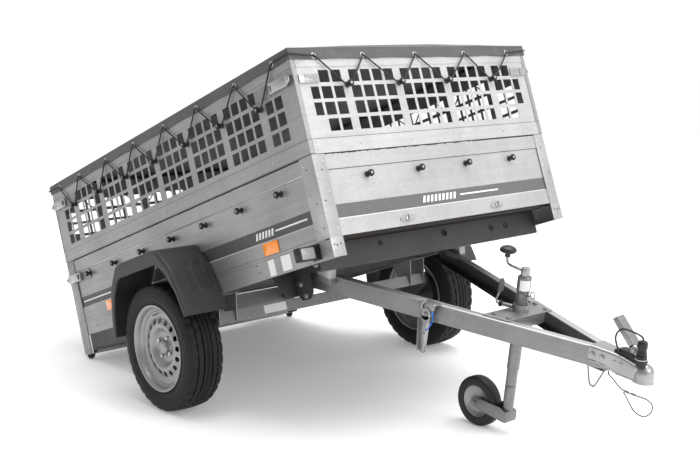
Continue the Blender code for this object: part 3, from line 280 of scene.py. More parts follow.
# The near arm's top flange is a painted highlight from the light overhead. The far arm is a darker painted-shade
# copy of the same zinc, with a painted highlight on its top.
zinc_bar = zinc("zinc_bar", BAR, tone=0.215, metal=0.60, rough=0.36, top=(ARM_TOP - 0.0050, 0.46))
zinc_painted_shade_far_bar = zinc("zinc_painted_shade_far_bar", BAR, tone=0.085, metal=0.5, rough=0.42, top=(ARM_TOP - 0.0030, 0.36))
zinc_leg = zinc("zinc_leg", BAR, tone=0.20, metal=0.75, rough=0.34)
zinc_bar_dark = zinc("zinc_bar_dark", BAR, tone=0.26, metal=0.65, rough=0.36)
zinc_bright = zinc("zinc_bright", BAR, tone=0.40, metal=0.80, rough=0.30, spangle=0.03, streak=0.06)
zinc_plated = zinc("zinc_plated", BOX, tone=0.52, metal=0.85, rough=0.24, spangle=0.03, streak=0.10)
steel_dark = zinc("steel_dark", BAR, tone=0.09, metal=0.7, rough=0.45)
silver = speckled("wheel_silver", (0.30, 0.303, 0.308), 0.34, 0.55, 500.0, 0.06, vary=0.08)
guard_plastic = speckled("guard_plastic", (0.036, 0.037, 0.039), 0.50, 0.0, 700.0, 0.35, vary=0.16,
                         Specular_IOR_Level=0.35)
black_plastic = speckled("black_plastic", (0.010, 0.010, 0.011), 0.36, 0.0, 600.0, 0.15, Specular_IOR_Level=0.4)
black_rubber = speckled("black_rubber", (0.013, 0.013, 0.014), 0.50, 0.0, 350.0, 0.22, Specular_IOR_Level=0.35)
grip_plastic = speckled("grip_plastic", (0.10, 0.105, 0.11), 0.5, 0.0, 500.0, 0.2)
label_white = speckled("label_white", (0.78, 0.78, 0.77), 0.5, 0.0, 200.0, 0.03, vary=0.04)
motif_white = speckled("motif_white", (0.80, 0.80, 0.80), 0.5, 0.0, 300.0, 0.03, vary=0.05)
lamp_red = speckled("lamp_red", (0.42, 0.008, 0.010), 0.12, 0.0, 260.0, 0.25, vary=0.15, Coat_Weight=1.0)
lamp_amber = speckled("lamp_amber", (0.80, 0.20, 0.01), 0.12, 0.0, 260.0, 0.25, vary=0.12, Coat_Weight=1.0)
light_ring = speckled("light_ring", (0.55, 0.55, 0.55), 0.4, 0.0, 400.0, 0.05)


def reflector_look():
    g = Graph("reflector_orange", BOX)
    cube = g.cells(330.0, out="Distance")
    g.bump(cube, 0.6, 0.0008)
    colour = g.ramp(g.mix([(cube, 0.8), (g.noise(40.0), 0.2)]),
                    [(0.15, (1.0, 0.36, 0.012)), (0.75, (0.95, 0.24, 0.006))])
    return g.finish(colour, 0.18, Coat_Weight=1.0, Coat_Roughness=0.05)


def lens_look():
    g = Graph("lens_clear", BOX)
    ribs = g.wave(260.0, "Y")
    g.bump(ribs, 0.5, 0.0008)
    return g.finish(g.ramp(ribs, [(0.2, (0.16, 0.165, 0.17)), (0.8, (0.46, 0.47, 0.48))]), 0.10, Coat_Weight=1.0)


def tarp_look():
    """Coated cloth: a fine plain weave under a dull coating, with a few scuffs."""
    g = Graph("tarp_cloth", BOX)
    weave = g.math("MULTIPLY", g.wave(170.0, "X"), g.wave(170.0, "Y"))
    cloth = g.mix([(weave, 0.6), (g.wave(170.0, "Z"), 0.2), (g.noise(260.0, 3.0), 0.5)])
    cloud, scuff = g.noise(6.0, 5.0, 0.6), g.noise(1.0, 6.0, 0.7, at=g.scaled(4.0, 9.0, 30.0))
    value = g.mix([(cloud, 0.5), (scuff, 0.4), (cloth, 0.15)])
    g.bump(cloth, 0.30, 0.0008)
    return g.finish(g.ramp(value, [(0.30, (0.040, 0.041, 0.044)), (0.72, (0.105, 0.107, 0.112))]),
                    g.span(value, 0.3, 0.7, 0.50, 0.66), Sheen_Weight=0.15, Sheen_Roughness=0.4)


def ply_look():
    """Film faced plywood: dark brown with a printed wire grid."""
    g = Graph("ply_film", BOX)
    grid = g.math("MAXIMUM", g.wave(55.0, "X"), g.wave(55.0, "Y"))
    grain = g.noise(2.0, 6.0, 0.65, at=g.scaled(2.0, 40.0, 40.0))
    g.bump(grid, 0.25, 0.0006)
    return g.finish(g.ramp(g.mix([(grid, 0.25), (grain, 0.7)]),
                           [(0.3, (0.010, 0.007, 0.005)), (0.8, (0.038, 0.026, 0.018))]), 0.45)


def rope_look(name, dark, light, rough, metal=0.0):
    g = Graph(name)
    fibre = g.noise(1500.0, 3.0, 0.6)
    tone = g.noise(90.0, 3.0, 0.5)
    g.bump(fibre, 0.35, 0.0004)
    g.shader.inputs["Metallic"].default_value = metal
    return g.finish(g.ramp(g.mix([(fibre, 0.4), (tone, 0.6)]), [(0.3, dark), (0.7, light)]), rough)


def tread_look():
    """Tyre rubber: dull, with a cloudy tone and a fine grain."""
    g = Graph("tyre_rubber")
    fine, cloud = g.noise(500.0, 3.0, 0.6), g.noise(14.0, 4.0, 0.65)
    value = g.mix([(cloud, 0.7), (fine, 0.3)])
    g.bump(fine, 0.25, 0.0006)
    return g.finish(g.ramp(value, [(0.32, (0.006, 0.006, 0.0065)), (0.70, (0.020, 0.0195, 0.019))]),
                    g.span(value, 0.3, 0.7, 0.48, 0.66), Specular_IOR_Level=0.20)


reflector_orange, lens_clear, tarp_cloth = reflector_look(), lens_look(), tarp_look()
ply_film, tyre_rubber = ply_look(), tread_look()
shock_cord = rope_look("shock_cord", (0.008, 0.008, 0.009), (0.030, 0.030, 0.032), 0.7)
blue_cord = rope_look("blue_cord", (0.003, 0.08, 0.45), (0.01, 0.17, 0.70), 0.5)
wire_rope_look = rope_look("wire_rope_look", (0.05, 0.052, 0.055), (0.24, 0.245, 0.25), 0.34, 0.8)
cable_sheath = rope_look("cable_sheath", (0.010, 0.010, 0.011), (0.026, 0.026, 0.028), 0.42)


# ---- solids as (points, faces) ----

def oblong(x0, x1, z0, z1):
    return [(x0, z0), (x1, z0), (x1, z1), (x0, z1)]


def block(lo, hi):
    (x0, y0, z0), (x1, y1, z1) = lo, hi
    points = [(x, y, z) for x in (x0, x1) for y in (y0, y1) for z in (z0, z1)]
    return points, [(0, 1, 3, 2), (4, 6, 7, 5), (0, 4, 5, 1), (2, 3, 7, 6), (0, 2, 6, 4), (1, 5, 7, 3)]


def prism(outline, lo, hi, axis):
    place = {"X": lambda a, b, c: (c, a, b), "Y": lambda a, b, c: (a, c, b), "Z": lambda a, b, c: (a, b, c)}[axis]
    n = len(outline)
    points = [place(a, b, c) for c in (lo, hi) for a, b in outline]
    faces = [tuple(range(n)), tuple(range(n, 2 * n))]
    return points, faces + [(i, (i + 1) % n, n + (i + 1) % n, n + i) for i in range(n)]


def eased(outline, radii, steps=4):
    """An outline with its corners rounded. radii is one number, or {corner: radius}."""
    made, n = [], len(outline)
    for i, corner in enumerate(outline):
        want = radii.get(i, 0.0) if isinstance(radii, dict) else radii
        here = Vector(corner)
        before, after = Vector(outline[i - 1]) - here, Vector(outline[(i + 1) % n]) - here
        if want <= 0.0 or before.length < 1e-9 or after.length < 1e-9:
            made.append(tuple(corner))
            continue
        half = before.angle(after) / 2
        reach = min(want / max(math.tan(half), 1e-6), before.length * 0.49, after.length * 0.49)
        a, b = here + before.normalized() * reach, here + after.normalized() * reach
        for k in range(steps + 1):
            t = k / steps
            made.append(tuple(a * (1 - t) ** 2 + here * 2 * t * (1 - t) + b * t * t))
    return made


def turned(profile, at, axis, steps=32, start=0.0):
    along = Vector(axis).normalized()
    across = along.orthogonal().normalized()
    if abs(along.z) < 0.5:
        across = (Vector(UP) - along * along.z).normalized()
    other = along.cross(across)
    points, rings, faces = [], [], []
    for radius, reach in profile:
        if radius < 1e-9:
            rings.append([len(points)])
            points.append(tuple(Vector(at) + along * reach))
            continue
        rings.append(list(range(len(points), len(points) + steps)))
        for i in range(steps):
            turn = 2 * math.pi * i / steps + start
            points.append(tuple(Vector(at) + along * reach 
                                + (across * math.cos(turn) + other * math.sin(turn)) * radius))
    for low, high in zip(rings, rings[1:]):
        for i in range(steps):
            j = (i + 1) % steps
            if len(low) == 1:
                faces.append((low[0], high[i], high[j]))
            elif len(high) == 1:
                faces.append((low[i], low[j], high[0]))
            else:
                faces.append((low[i], low[j], high[j], high[i]))
    for end in (rings[0], rings[-1]):
        if len(end) > 1:
            faces.append(tuple(end))
    return points, faces


def ring(profile, at, axis, steps=32):
    points, faces = turned(list(profile) + [profile[0]], at, axis, steps)
    n = len(profile) * steps
    return points[:n], [tuple(i % n if i >= n else i for i in face) for face in faces[:-2]]


def torus(at, axis, big, small, steps=24, sides=10):
    return ring([(big + small * math.cos(2 * math.pi * k / sides), small * math.sin(2 * math.pi * k / sides))
                 for k in range(sides)], at, axis, steps)


def rod(a, b, radius, steps=20, ease=0.0):
    reach = (Vector(b) - Vector(a)).length
    if ease:
        profile = [(radius - ease, 0.0), (radius, ease), (radius, reach - ease), (radius - ease, reach)]
    else:
        profile = [(radius, 0.0), (radius, reach)]
    return turned(profile, a, Vector(b) - Vector(a), steps)


def washer(radius, height, at, axis, steps):
    return turned([(radius, 0.0), (radius, height)], at, axis, steps)


def dome(at, axis, radius, height, steps=12):
    return turned([(radius, 0.0), (radius * 0.92, height * 0.45), (radius * 0.62, height * 0.85), (0.0, height)],
                  at, axis, steps)


def hexagon(at, axis, radius, height):
    return turned([(radius, 0.0), (radius, height * 0.82), (radius * 0.88, height)], at, axis, 6)


def swept(path, radius, steps=10, lobes=0, twist=0.0, closed=False):
    """A bar along a bent path. With lobes its section is that of laid strands, turned twist per metre."""
    path = [Vector(p) for p in path]
    n, points, faces, side, gone = len(path), [], [], None, 0.0
    for i, p in enumerate(path):
        after = path[(i + 1) % n] if closed or i + 1 < n else p
        before = path[i - 1] if closed or i else p
        along = (after - before).normalized()
        side = (side or along.orthogonal()) - along * (side or along.orthogonal()).dot(along)
        side.normalize()
        rise = along.cross(side)
        gone += (p - path[i - 1]).length if i else 0.0
        for k in range(steps):
            turn = 2 * math.pi * k / steps
            r = radius * (1.0 - 0.16 * (0.5 - 0.5 * math.cos(lobes * turn + gone * twist))) if lobes else radius
            points.append(tuple(p + (side * math.cos(turn) + rise * math.sin(turn)) * r))
    for i in range(n if closed else n - 1):
        for k in range(steps):
            j, m = (k + 1) % steps, (i + 1) % n
            faces.append((i * steps + k, i * steps + j, m * steps + j, m * steps + k))
    if not closed:
        faces += [tuple(range(steps)), tuple(range((n - 1) * steps, n * steps))]
    return points, faces


def changed(solid, matrix):
    return [tuple(matrix @ Vector(p)) for p in solid[0]], solid[1]


def mirrored(solid):
    return [(p[0], -p[1], p[2]) for p in solid[0]], solid[1]


def joined(solids):
    points, faces = [], []
    for more, rings in solids:
        faces += [tuple(i + len(points) for i in face) for face in rings]
        points += list(more)
    return points, faces


def evenly(dense, count):
    """Points at even distances along a close run of points."""
    reach = [0.0]
    for a, b in zip(dense, dense[1:]):
        reach.append(reach[-1] + (b - a).length)
    made, k = [], 0
    for i in range(count):
        want = reach[-1] * i / (count - 1)
        while k < len(reach) - 2 and reach[k + 1] < want:
            k += 1
        share = (want - reach[k]) / max(1e-9, reach[k + 1] - reach[k])
        made.append(dense[k].lerp(dense[k + 1], min(1.0, share)))
    return made


def smooth(points, count):
    """Points read evenly from a Catmull-Rom curve through the given ones."""
    p = [Vector(q) for q in points]
    p = [p[0] * 2 - p[1]] + p + [p[-1] * 2 - p[-2]]
    dense = []
    for a, b, c, d in zip(p, p[1:], p[2:], p[3:]):
        for k in range(24):
            t = k / 24
            dense.append(0.5 * (2 * b + (c - a) * t + (2 * a - 5 * b + 4 * c - d) * t * t
                                + (3 * b - a - 3 * c + d) * t ** 3))
    return evenly(dense + [p[-2]], count)


def make(name, body, look, solids, place=BOX, bevel=0.0, segments=2, angle=38.0, stands_for=(), slot=None,
         clip=None, thick=0.0):
    """A piece from solids given in one of the frames, riding on a body."""
    points, faces = joined(solids)
    mesh = bpy.data.meshes.new(name)
    mesh.from_pydata([tuple(p) for p in points], [], [list(f) for f in faces])
    work = bmesh.new()
    work.from_mesh(mesh)
    bmesh.ops.remove_doubles(work, verts=work.verts, dist=1e-6)
    if clip:
        bmesh.ops.bisect_plane(work, geom=work.verts[:] + work.edges[:] + work.faces[:], plane_co=clip[0],
                               plane_no=clip[1], clear_outer=True)
        bmesh.ops.holes_fill(work, edges=[e for e in work.edges if e.is_boundary])
    bmesh.ops.recalc_face_normals(work, faces=work.faces)
    bmesh.ops.transform(work, matrix=place, verts=work.verts)
    work.to_mesh(mesh)
    work.free()
    mesh.materials.append(look)
    made = bpy.data.objects.new(name, mesh)
    bpy.context.scene.collection.objects.link(made)
    if thick:
        step = made.modifiers.new("thick", "SOLIDIFY")
        step.thickness, step.offset = thick, -1.0
    if bevel:
        step = made.modifiers.new("bevel", "BEVEL")
        step.width, step.segments, step.limit_method, step.angle_limit = bevel, segments, "ANGLE", R(34.0)
        step.use_clamp_overlap = True
    if made.modifiers:
        bpy.context.view_layer.update()
        final = bpy.data.meshes.new_from_object(made.evaluated_get(bpy.context.evaluated_depsgraph_get()))
        made.modifiers.clear()
        made.data = final
    made.data.name = name
    for face in made.data.polygons:
        face.use_smooth = True
    made.data.set_sharp_from_angle(angle=R(angle))
    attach(made, body)
    if stands_for:
        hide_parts(*([stands_for] if isinstance(stands_for, str) else stands_for))
    return made


def pair(name, bodies, look, solids, nodes=None, **more):
    """The right-hand piece as given (its Y is negative) and its mirror image on the left."""
    bodies = bodies if isinstance(bodies, tuple) else (bodies, bodies)
    made = []
    for end, body, parts in (("right", bodies[0], solids), ("left", bodies[1], [mirrored(s) for s in solids])):
        extra = {"stands_for": [n + "_" + end for n in nodes]} if nodes else {}
        made.append(make(f"{name}_{end}", body, look, parts, **extra, **more))
    return made


# ---- cords, at the routes that the frame holds ----
def along(place, points, count):
    return [place @ p for p in smooth(points, count)]


plug_at = Vector((1.2430, -0.0300, 0.0))
lean = Vector((-0.06, 0.0, 1.0)).normalized()
cable_route = along(BAR, [plug_at + lean * 0.0310, plug_at + lean * 0.0310 + Vector((-0.0006, 0.0, 0.0060)),
                          (1.228, -0.0310, 0.0450), (1.190, -0.0330, 0.0490), (1.160, -0.0345, 0.0460),
                          (1.141, -0.0345, 0.0280), (1.137, -0.0345, 0.0050), (1.144, -0.0335, -0.0150),
                          (1.152, -0.0300, -0.0330), (1.1555, -0.0270, -0.0430)], 80)
safety_route = along(BAR, [(1.112, -0.0080, -0.1330), (1.120, -0.0120, -0.1420), (1.141, -0.0140, -0.1510),
                           (1.165, -0.0145, -0.1660), (1.192, -0.0150, -0.1745), (1.244, -0.0150, -0.1730),
                           (1.284, -0.0150, -0.1720), (1.307, -0.0150, -0.1860), (1.304, -0.0150, -0.2110),
                           (1.280, -0.0150, -0.2350), (1.243, -0.0150, -0.2310), (1.218, -0.0150, -0.2100),
                           (1.199, -0.0155, -0.1890), (1.1900, -0.0190, -0.1790)], 220)
lanyard_route = along(BAR, [(0.4800, -0.2580, -0.0740), (0.4900, -0.2620, -0.0800), (0.5000, -0.2680, -0.0960),
                            (0.4990, -0.2730, -0.1150), (0.4880, -0.2760, -0.1360), (0.4790, -0.2765, -0.1450)], 60)
STAY = Matrix.Identity(4)
plug_cable = make("cable_to_plug", "drawbar", cable_sheath, [swept(cable_route, 0.0034, 14)], STAY, angle=60,
                  stands_for="plug_cable")
safety_cable = make("breakaway_cable", "drawbar", wire_rope_look, [swept(safety_route, 0.0026, 24, 6, 480.0)], STAY,
                    angle=70, stands_for="safety_cable")
lanyard = make("lever_lanyard", "lock", blue_cord, [swept(lanyard_route, 0.0021, 18, 3, 600.0)], STAY, angle=70,
               stands_for="lock_lanyard")


def bar_piece(name, body, look, solids, **more):
    return make(name, body, look, solids, BAR, **more)


# ferrules of the breakaway cable, where its two runs meet, and the tail of its loop
D_SAFE = BAR.inverted()
ferrules = []
for spot in (0.262, 0.335):
    k = int(len(safety_route) * spot)
    a, b = D_SAFE @ safety_route[k - 3], D_SAFE @ safety_route[k + 3]
    middle = (a + b) / 2
    way = (b - a).normalized()
    ferrules.append(rod(middle - way * 0.0080, middle + way * 0.0080, 0.0048, 18, 0.0008))
cable_ferrules = bar_piece("cable_ferrules", "drawbar", zinc_bright, ferrules)

# plug: ribbed body, light ring, cap
plug_body = turned([(0.0, -0.0560), (0.0165, -0.0560), (0.0185, -0.0545), (0.0212, -0.0520), (0.0215, -0.0440),
                    (0.0227, -0.0432), (0.0227, -0.0378), (0.0203, -0.0360), (0.0196, -0.0300), (0.0190, -0.0290),
                    (0.0190, -0.0245), (0.0184, -0.0235), (0.0178, -0.0180), (0.0172, -0.0170), (0.0172, -0.0120),
                    (0.0160, -0.0080), (0.0150, 0.0020), (0.0161, 0.0050), (0.0161, 0.0250), (0.0148, 0.0285),
                    (0.0095, 0.0298), (0.0062, 0.0305), (0.0058, 0.0308), (0.0, 0.0308)], plug_at, lean, 40)
ribs = []
for k in range(14):
    turn = 2 * math.pi * k / 14
    centre = plug_at + Vector((math.cos(turn), math.sin(turn), 0)) * 0.0158 + lean * 0.006
    ribs.append(rod(centre, centre + lean * 0.017, 0.0014, 8))
plug = bar_piece("plug_body", "drawbar", black_plastic, [plug_body] + ribs, stands_for="plug", angle=30)
plug_ring = bar_piece("plug_ring", "drawbar", light_ring,
                      [torus(plug_at + lean * -0.0345, lean, 0.0200, 0.0013, 40)])

ball = [(0.0, -0.0036), (0.0024, -0.0030), (0.0038, -0.0010), (0.0038, 0.0012), (0.0024, 0.0030), (0.0, 0.0036)]
lanyard_knots = make("lanyard_knots", "lock", blue_cord, [turned(ball, lanyard_route[3], UP, 16),
    turned(ball, lanyard_route[-2], (1, 0, 1), 16),
                                                         turned(ball, lanyard_route[9], FORE, 16)], STAY, angle=60)

# ---- materials of the CAD sheets that stay ----
# the front and mid crossmembers, hinge brackets, tip shaft and swing arms take zinc with painted shade
KEPT = {
    "floor_panel": ply_film, "sill_right": zinc_painted_shade_side, "sill_left": zinc_painted_shade_side, "side_board_right": zinc_painted_shade_side_board,
    "side_board_left": zinc_painted_shade_side_board, "front_board": zinc_painted_light_board, "mesh_side_right": zinc_painted_shade_side,
    "mesh_side_left": zinc_painted_shade_side, "mesh_front": zinc_painted_light_front, "mesh_rear": zinc_painted_shade_side, "tailgate": zinc_painted_shade_side,
    "front_crossmember": zinc_painted_shade_under, "mid_crossmember": zinc_dark, "rear_crossmember": zinc_painted_shade_side,
    "hinge_bracket_right": zinc_painted_shade_under, "hinge_bracket_left": zinc_painted_shade_under, "tip_shaft": zinc_dark,
    "axle_beam": zinc_axle, "swing_arm_right": zinc_dark, "swing_arm_left": zinc_dark,
}
for node, look in KEPT.items():
    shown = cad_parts[node]
    shown.data.materials.clear()
    shown.data.materials.append(look)


# ---- posts, rivets, knobs ----
def post(x0, way, front_leg, side_leg, low_front, low_side, top):
    inner = x0 - way * side_leg
    outline = eased([(inner, -HALF), (x0, -HALF), (x0, -HALF + front_leg), (x0 - way * 0.0018, -HALF + front_leg),
                     (x0 - way * 0.0018, -HALF + 0.0018), (inner, -HALF + 0.0018)], {1: 0.0042, 4: 0.0024}, 5)
    solids = [prism(outline, max(low_front, low_side), top, "Z")]
    if low_front < low_side:
        a, b = sorted((x0, x0 - way * 0.0018))
        solids.append(block((a, -HALF, low_front), (b, -HALF + front_leg, low_side + 0.0006)))
    return solids


def rivets(spots, axis, radius=0.0056, height=0.0028):
    return [dome(p, axis, radius, height) for p in spots]


def row(at, values, axis_index):
    made = []
    for v in values:
        p = list(at)
        p[axis_index] = v
        made.append(tuple(p))
    return made


front_posts = post(0.0, 1, 0.060, 0.077, 0.0, 0.070, SEAM + 0.004)
pair("corner_post_front", "box", zinc_post, front_posts, ["post_front"], bevel=0.0004)
rear_posts = post(-LENGTH, -1, 0.042, 0.077, -0.094, -0.094, SEAM + 0.004)
rear_posts.append(block((-2.0796, -0.6446, -0.0938), (-2.0360, -0.6032, -0.0913)))
pair("corner_post_rear", "box", zinc_painted_shade_side, rear_posts, ["post_rear"], bevel=0.0004)

post_rivets = rivets(row((0.0, -0.600, 0), (0.100, 0.235, 0.345), 2), FORE)
post_rivets += rivets(row((0.0, -0.630, 0), (0.025, 0.165, 0.290, 0.360), 2), FORE, 0.0038)
post_rivets += rivets(row((-0.060, -HALF, 0), (0.100, 0.235, 0.345), 2), SIDEWAYS)
post_rivets += rivets(row((-2.020, -HALF, 0), (-0.060, 0.030, 0.100, 0.235, 0.345), 2), SIDEWAYS)
post_rivets += rivets(row((-LENGTH, -0.614, 0), (-0.060, 0.100, 0.235, 0.345), 2), (-1, 0, 0))
post_rivets += rivets(row((-0.012, -HALF, 0), (0.405, 0.730), 2), SIDEWAYS, 0.004)
post_rivets += rivets(row((-2.066, -HALF, 0), (0.405, 0.730), 2), SIDEWAYS, 0.004)
post_rivets += rivets(row((0.0, -0.610, 0), (0.392, 0.420, 0.715, 0.752), 2), FORE, 0.004)
post_rivets += rivets([(x, -HALF, 0.404) for x in SIDE_BARS], SIDEWAYS, 0.0042)
pair("panel_rivets", "box", zinc_plated, post_rivets)
# Black discs at the holes in the sheets: painted shade where the holes are open.
hole_shade_discs = [washer(0.0033, 0.0003, (0.0, y, z), FORE, 14) for y, z in
              ((-0.632, 0.045), (-0.620, 0.042), (-0.602, 0.045), (-0.626, 0.205), (-0.612, 0.318))]
hole_shade_discs += [washer(0.0033, 0.0003, (x, -HALF, z), SIDEWAYS, 14) for x, z in
               ((-0.030, 0.200), (-0.045, 0.330), (-0.022, 0.110), (-2.052, 0.060), (-2.050, 0.180),
                (-2.060, -0.030))]
hole_shade_discs += [washer(0.0036, 0.0003, (x, -SILL_FACE, z), SIDEWAYS, 14) for x, z in
               ((-0.470, 0.030), (-0.480, 0.058), (-1.520, 0.030), (-1.900, 0.030), (-0.200, 0.052))]
pair("sheet_hole_shade", "box", black_rubber, hole_shade_discs)
end_rivets = rivets([(0.0, y, 0.404) for y in FRONT_BARS], FORE, 0.0042)
end_rivets += rivets([(-LENGTH, y, 0.404) for y in FRONT_BARS], (-1, 0, 0), 0.0042)
make("end_rivets", "box", zinc_plated, end_rivets)

KNOB = [(0.0118, -0.0004), (0.0122, 0.0014), (0.0112, 0.0034), (0.0078, 0.0056), (0.0070, 0.0100),
        (0.0070, 0.0140), (0.0082, 0.0166),
        (0.0122, 0.0180), (0.0135, 0.0204), (0.0137, 0.0240), (0.0128, 0.0275), (0.0100, 0.0294), (0.0062, 0.0298),
        (0.0044, 0.0288), (0.0, 0.0284)]


def side_knobs(spots):
    return [turned(KNOB, (x, -out, z), SIDEWAYS, 20) for x, out, z in spots]


def end_knobs(x0, way, spots):
    return [turned(KNOB, (x0 + way * out, y, z), (way, 0, 0), 20) for y, out, z in spots]


plane = HALF - 0.0018
pair("tie_knobs_side", "box", black_rubber,
     side_knobs([(x, HALF - 0.0053, KNOB_LOW) for x in SIDE_BARS] + [(x, plane, KNOB_HIGH) for x in SIDE_BARS[:-1]]
                + [(-0.230, HALF - 0.0015, 0.612)]))
make("tie_knobs_front", "box", black_rubber,
     end_knobs(0.0, 1, [(y, -0.0053, KNOB_LOW) for y in FRONT_BARS] + [(y, -0.0018,
         KNOB_HIGH) for y in FRONT_BARS]))
make("tie_knobs_rear", "box", black_rubber, end_knobs(-LENGTH, -1, [(y, -0.0018, KNOB_HIGH) for y in FRONT_BARS]))
make("tie_knobs_tailgate", "tail", black_rubber, end_knobs(-LENGTH, -1, [(y, -0.0053, 0.230) for y in FRONT_BARS]))

# ---- stripe motif, reflectors, labels ----
def slanted(a, b, low, high, lean_by, out, thick, where):
    outline = [(a, low), (b, low), (b + lean_by, high), (a + lean_by, high)]
    if where == "front":
        return prism(outline, out, out + thick, "X")
    return prism(outline, -out - thick, -out, "Y")


motif = [slanted(-0.150 + 0.021 * k, -0.138 + 0.021 * k, 0.150, 0.176, 0.010, -0.0053, 0.0003,
                 "front") for k in range(9)]
motif += [slanted(0.060, 0.285, 0.160, 0.166, 0.002, -0.0053, 0.0003, "front")]
make("stripe_motif_front", "box", motif_white, motif)
side_motif = [slanted(-0.345 - 0.021 * k, -0.333 - 0.021 * k, 0.150, 0.176, 0.010, HALF - 0.0053, 0.0003,
                      "side") for k in range(6)]
side_motif += [slanted(-0.315, -0.110, 0.160, 0.166, 0.002, HALF - 0.0053, 0.0003, "side"),
               slanted(-1.985, -1.690, 0.160, 0.166, 0.002, HALF - 0.0053, 0.0003, "side")]
pair("stripe_motif_side", "box", motif_white, side_motif)


def plate(x0, x1, z0, z1, out, thick, ease=0.002):
    outline = eased(oblong(x0, x1, z0, z1), ease)
    return prism(outline, -out - thick, -out, "Y")


pair("reflector_side", "box", reflector_orange,
     [plate(-0.405, -0.310, 0.082, 0.130, HALF - 0.0025, 0.0060, 0.004),
      plate(-1.745, -1.650, 0.082, 0.130, HALF - 0.0025, 0.0060, 0.004)],
     bevel=0.0012)
pair("sill_labels", "box", label_white, [plate(-0.402, -0.362, 0.002, 0.064, SILL_FACE, 0.0003),
                                         plate(-0.316, -0.256, 0.006, 0.064, SILL_FACE, 0.0003),
                                         plate(-0.150, -0.118, 0.016, 0.058, SILL_FACE, 0.0003)])
make("axle_label", "box", label_white, [prism(oblong(-0.360, -0.240, -0.114, -0.078), -0.8930, -0.8926, "X")])

# ---- tarpaulin ----
# how far the cloth stands out, its hem and its top, and how far its edge lies under the top
T_OUT, T_LOW, T_HIGH, FOLD = 0.0042, 0.729, 0.776, 0.0024


def tarp_height(x, y):
    """Top of the cloth: a low crown, a slight sag between its bars and creases towards the eyelets."""
    crown = 0.0095 * (1 - (y / HALF) ** 2)
    sag = 0.0022 * math.cos(2 * math.pi * (x + 1.04) / 0.54) * (1 - (y / HALF) ** 2)
    wrinkle = 0.0016 * noise.noise(Vector((x * 9.0, y * 4.0, 3.1))) + 0.0008 * noise.noise(Vector((x * 26.0,
        y * 12.0, 8.4)))
    pull = 0.0
    for eye in SIDE_EYES:
        away = math.hypot((x - eye) * 1.6, (HALF - abs(y)) * 0.55)
        pull -= 0.0016 * math.exp(-((away / 0.060) ** 2)) * math.cos((x - eye) * 130)
    return T_HIGH + crown + (sag + wrinkle + pull) * min(1.0, (HALF - abs(y)) / 0.05 + 0.15)


def skirt_out(u, v, eyes, seed):
    """How far the hanging edge stands out, u along it and v from 0 at the fold to 1 at its hem."""
    near = min(abs(u - e) for e in eyes)
    ease = min(1.0, max(0.0, (near - 0.018) / 0.05))
    wave = 0.0016 * noise.noise(Vector((u * 17.0, seed, 1.7))) + 0.0010 * math.sin(u * 46.0 + seed)
    return T_OUT - 0.0006 + v * ease * (wave + 0.0008) - 0.0012 * (1 - ease) * v


def skirt_low(u, eyes, seed):
    near = min(abs(u - e) for e in eyes)
    return T_LOW + 0.0040 * min(1.0, near / 0.12) + 0.0018 * noise.noise(Vector((u * 9.0, seed, 5.2)))


NX, NY, SKIRT = 150, 88, 7
X0, X1, Y0 = -LENGTH - T_OUT, T_OUT, HALF + T_OUT
tarp_points, tarp_faces, tarp_index = [], [], {}


def tarp_point(i, j):
    """Grid spot: i along X and j along Y, with SKIRT rows hanging beyond each edge."""
    u, v = min(max(i, 0), NX) / NX, min(max(j, 0), NY) / NY
    x, y = X0 + (X1 - X0) * u, -Y0 + 2 * Y0 * v
    over_x = -i if i < 0 else max(0, i - NX)
    over_y = -j if j < 0 else max(0, j - NY)
    z = tarp_height(x, y)
    edge = min(min(u, 1 - u) * NX, min(v, 1 - v) * NY)
    if not over_x and not over_y:
        return (x, y, min(z, T_HIGH - FOLD) if edge < 0.5 else z)
    depth = max(over_x, over_y) / SKIRT
    beside = over_y and not (over_x and over_x >= over_y)
    if beside:
        u, eyes, side, seed = x, SIDE_EYES, 1 if y > 0 else -1, 2.0 if y > 0 else 7.0
    else:
        u, eyes, side, seed = y, FRONT_EYES, 1 if x > -1 else -1, 4.0 if x > -1 else 9.0
    out = side * (skirt_out(u, depth, eyes, seed) - T_OUT)
    z = T_HIGH - FOLD + (skirt_low(u, eyes, seed) - T_HIGH + FOLD) * depth
    return (x, y + out, z) if beside else (x + out, y, z)


def tarp_at(i, j):
    over_x = -i if i < 0 else max(0, i - NX)
    over_y = -j if j < 0 else max(0, j - NY)
    if over_x and over_y:  # the corner is folded flat, so both skirts share one line of points
        k = max(over_x, over_y)
        i, j = (0 if i < 0 else NX), (-k if j < 0 else NY + k)
    if (i, j) not in tarp_index:
        tarp_index[(i, j)] = len(tarp_points)
        tarp_points.append(tarp_point(i, j))
    return tarp_index[(i, j)]


for i in range(NX):
    for j in range(-SKIRT, NY + SKIRT):
        tarp_faces.append((tarp_at(i, j), tarp_at(i + 1, j), tarp_at(i + 1, j + 1), tarp_at(i, j + 1)))
for i in list(range(-SKIRT, 0)) + list(range(NX, NX + SKIRT)):
    for j in range(NY):
        quad = []
        for a, b in oblong(i, i + 1, j, j + 1):
            over = -a if a < 0 else max(0, a - NX)
            if over and b in (0, NY):  # meets the side skirt at the corner
                quad.append(tarp_at(0 if a < 0 else NX, -over if b == 0 else NY + over))
            else:
                quad.append(tarp_at(a, b))
        tarp_faces.append(tuple(quad))
tarp = make("tarpaulin", "box", tarp_cloth, [(tarp_points, tarp_faces)], thick=0.0012, angle=50, stands_for="tarp")

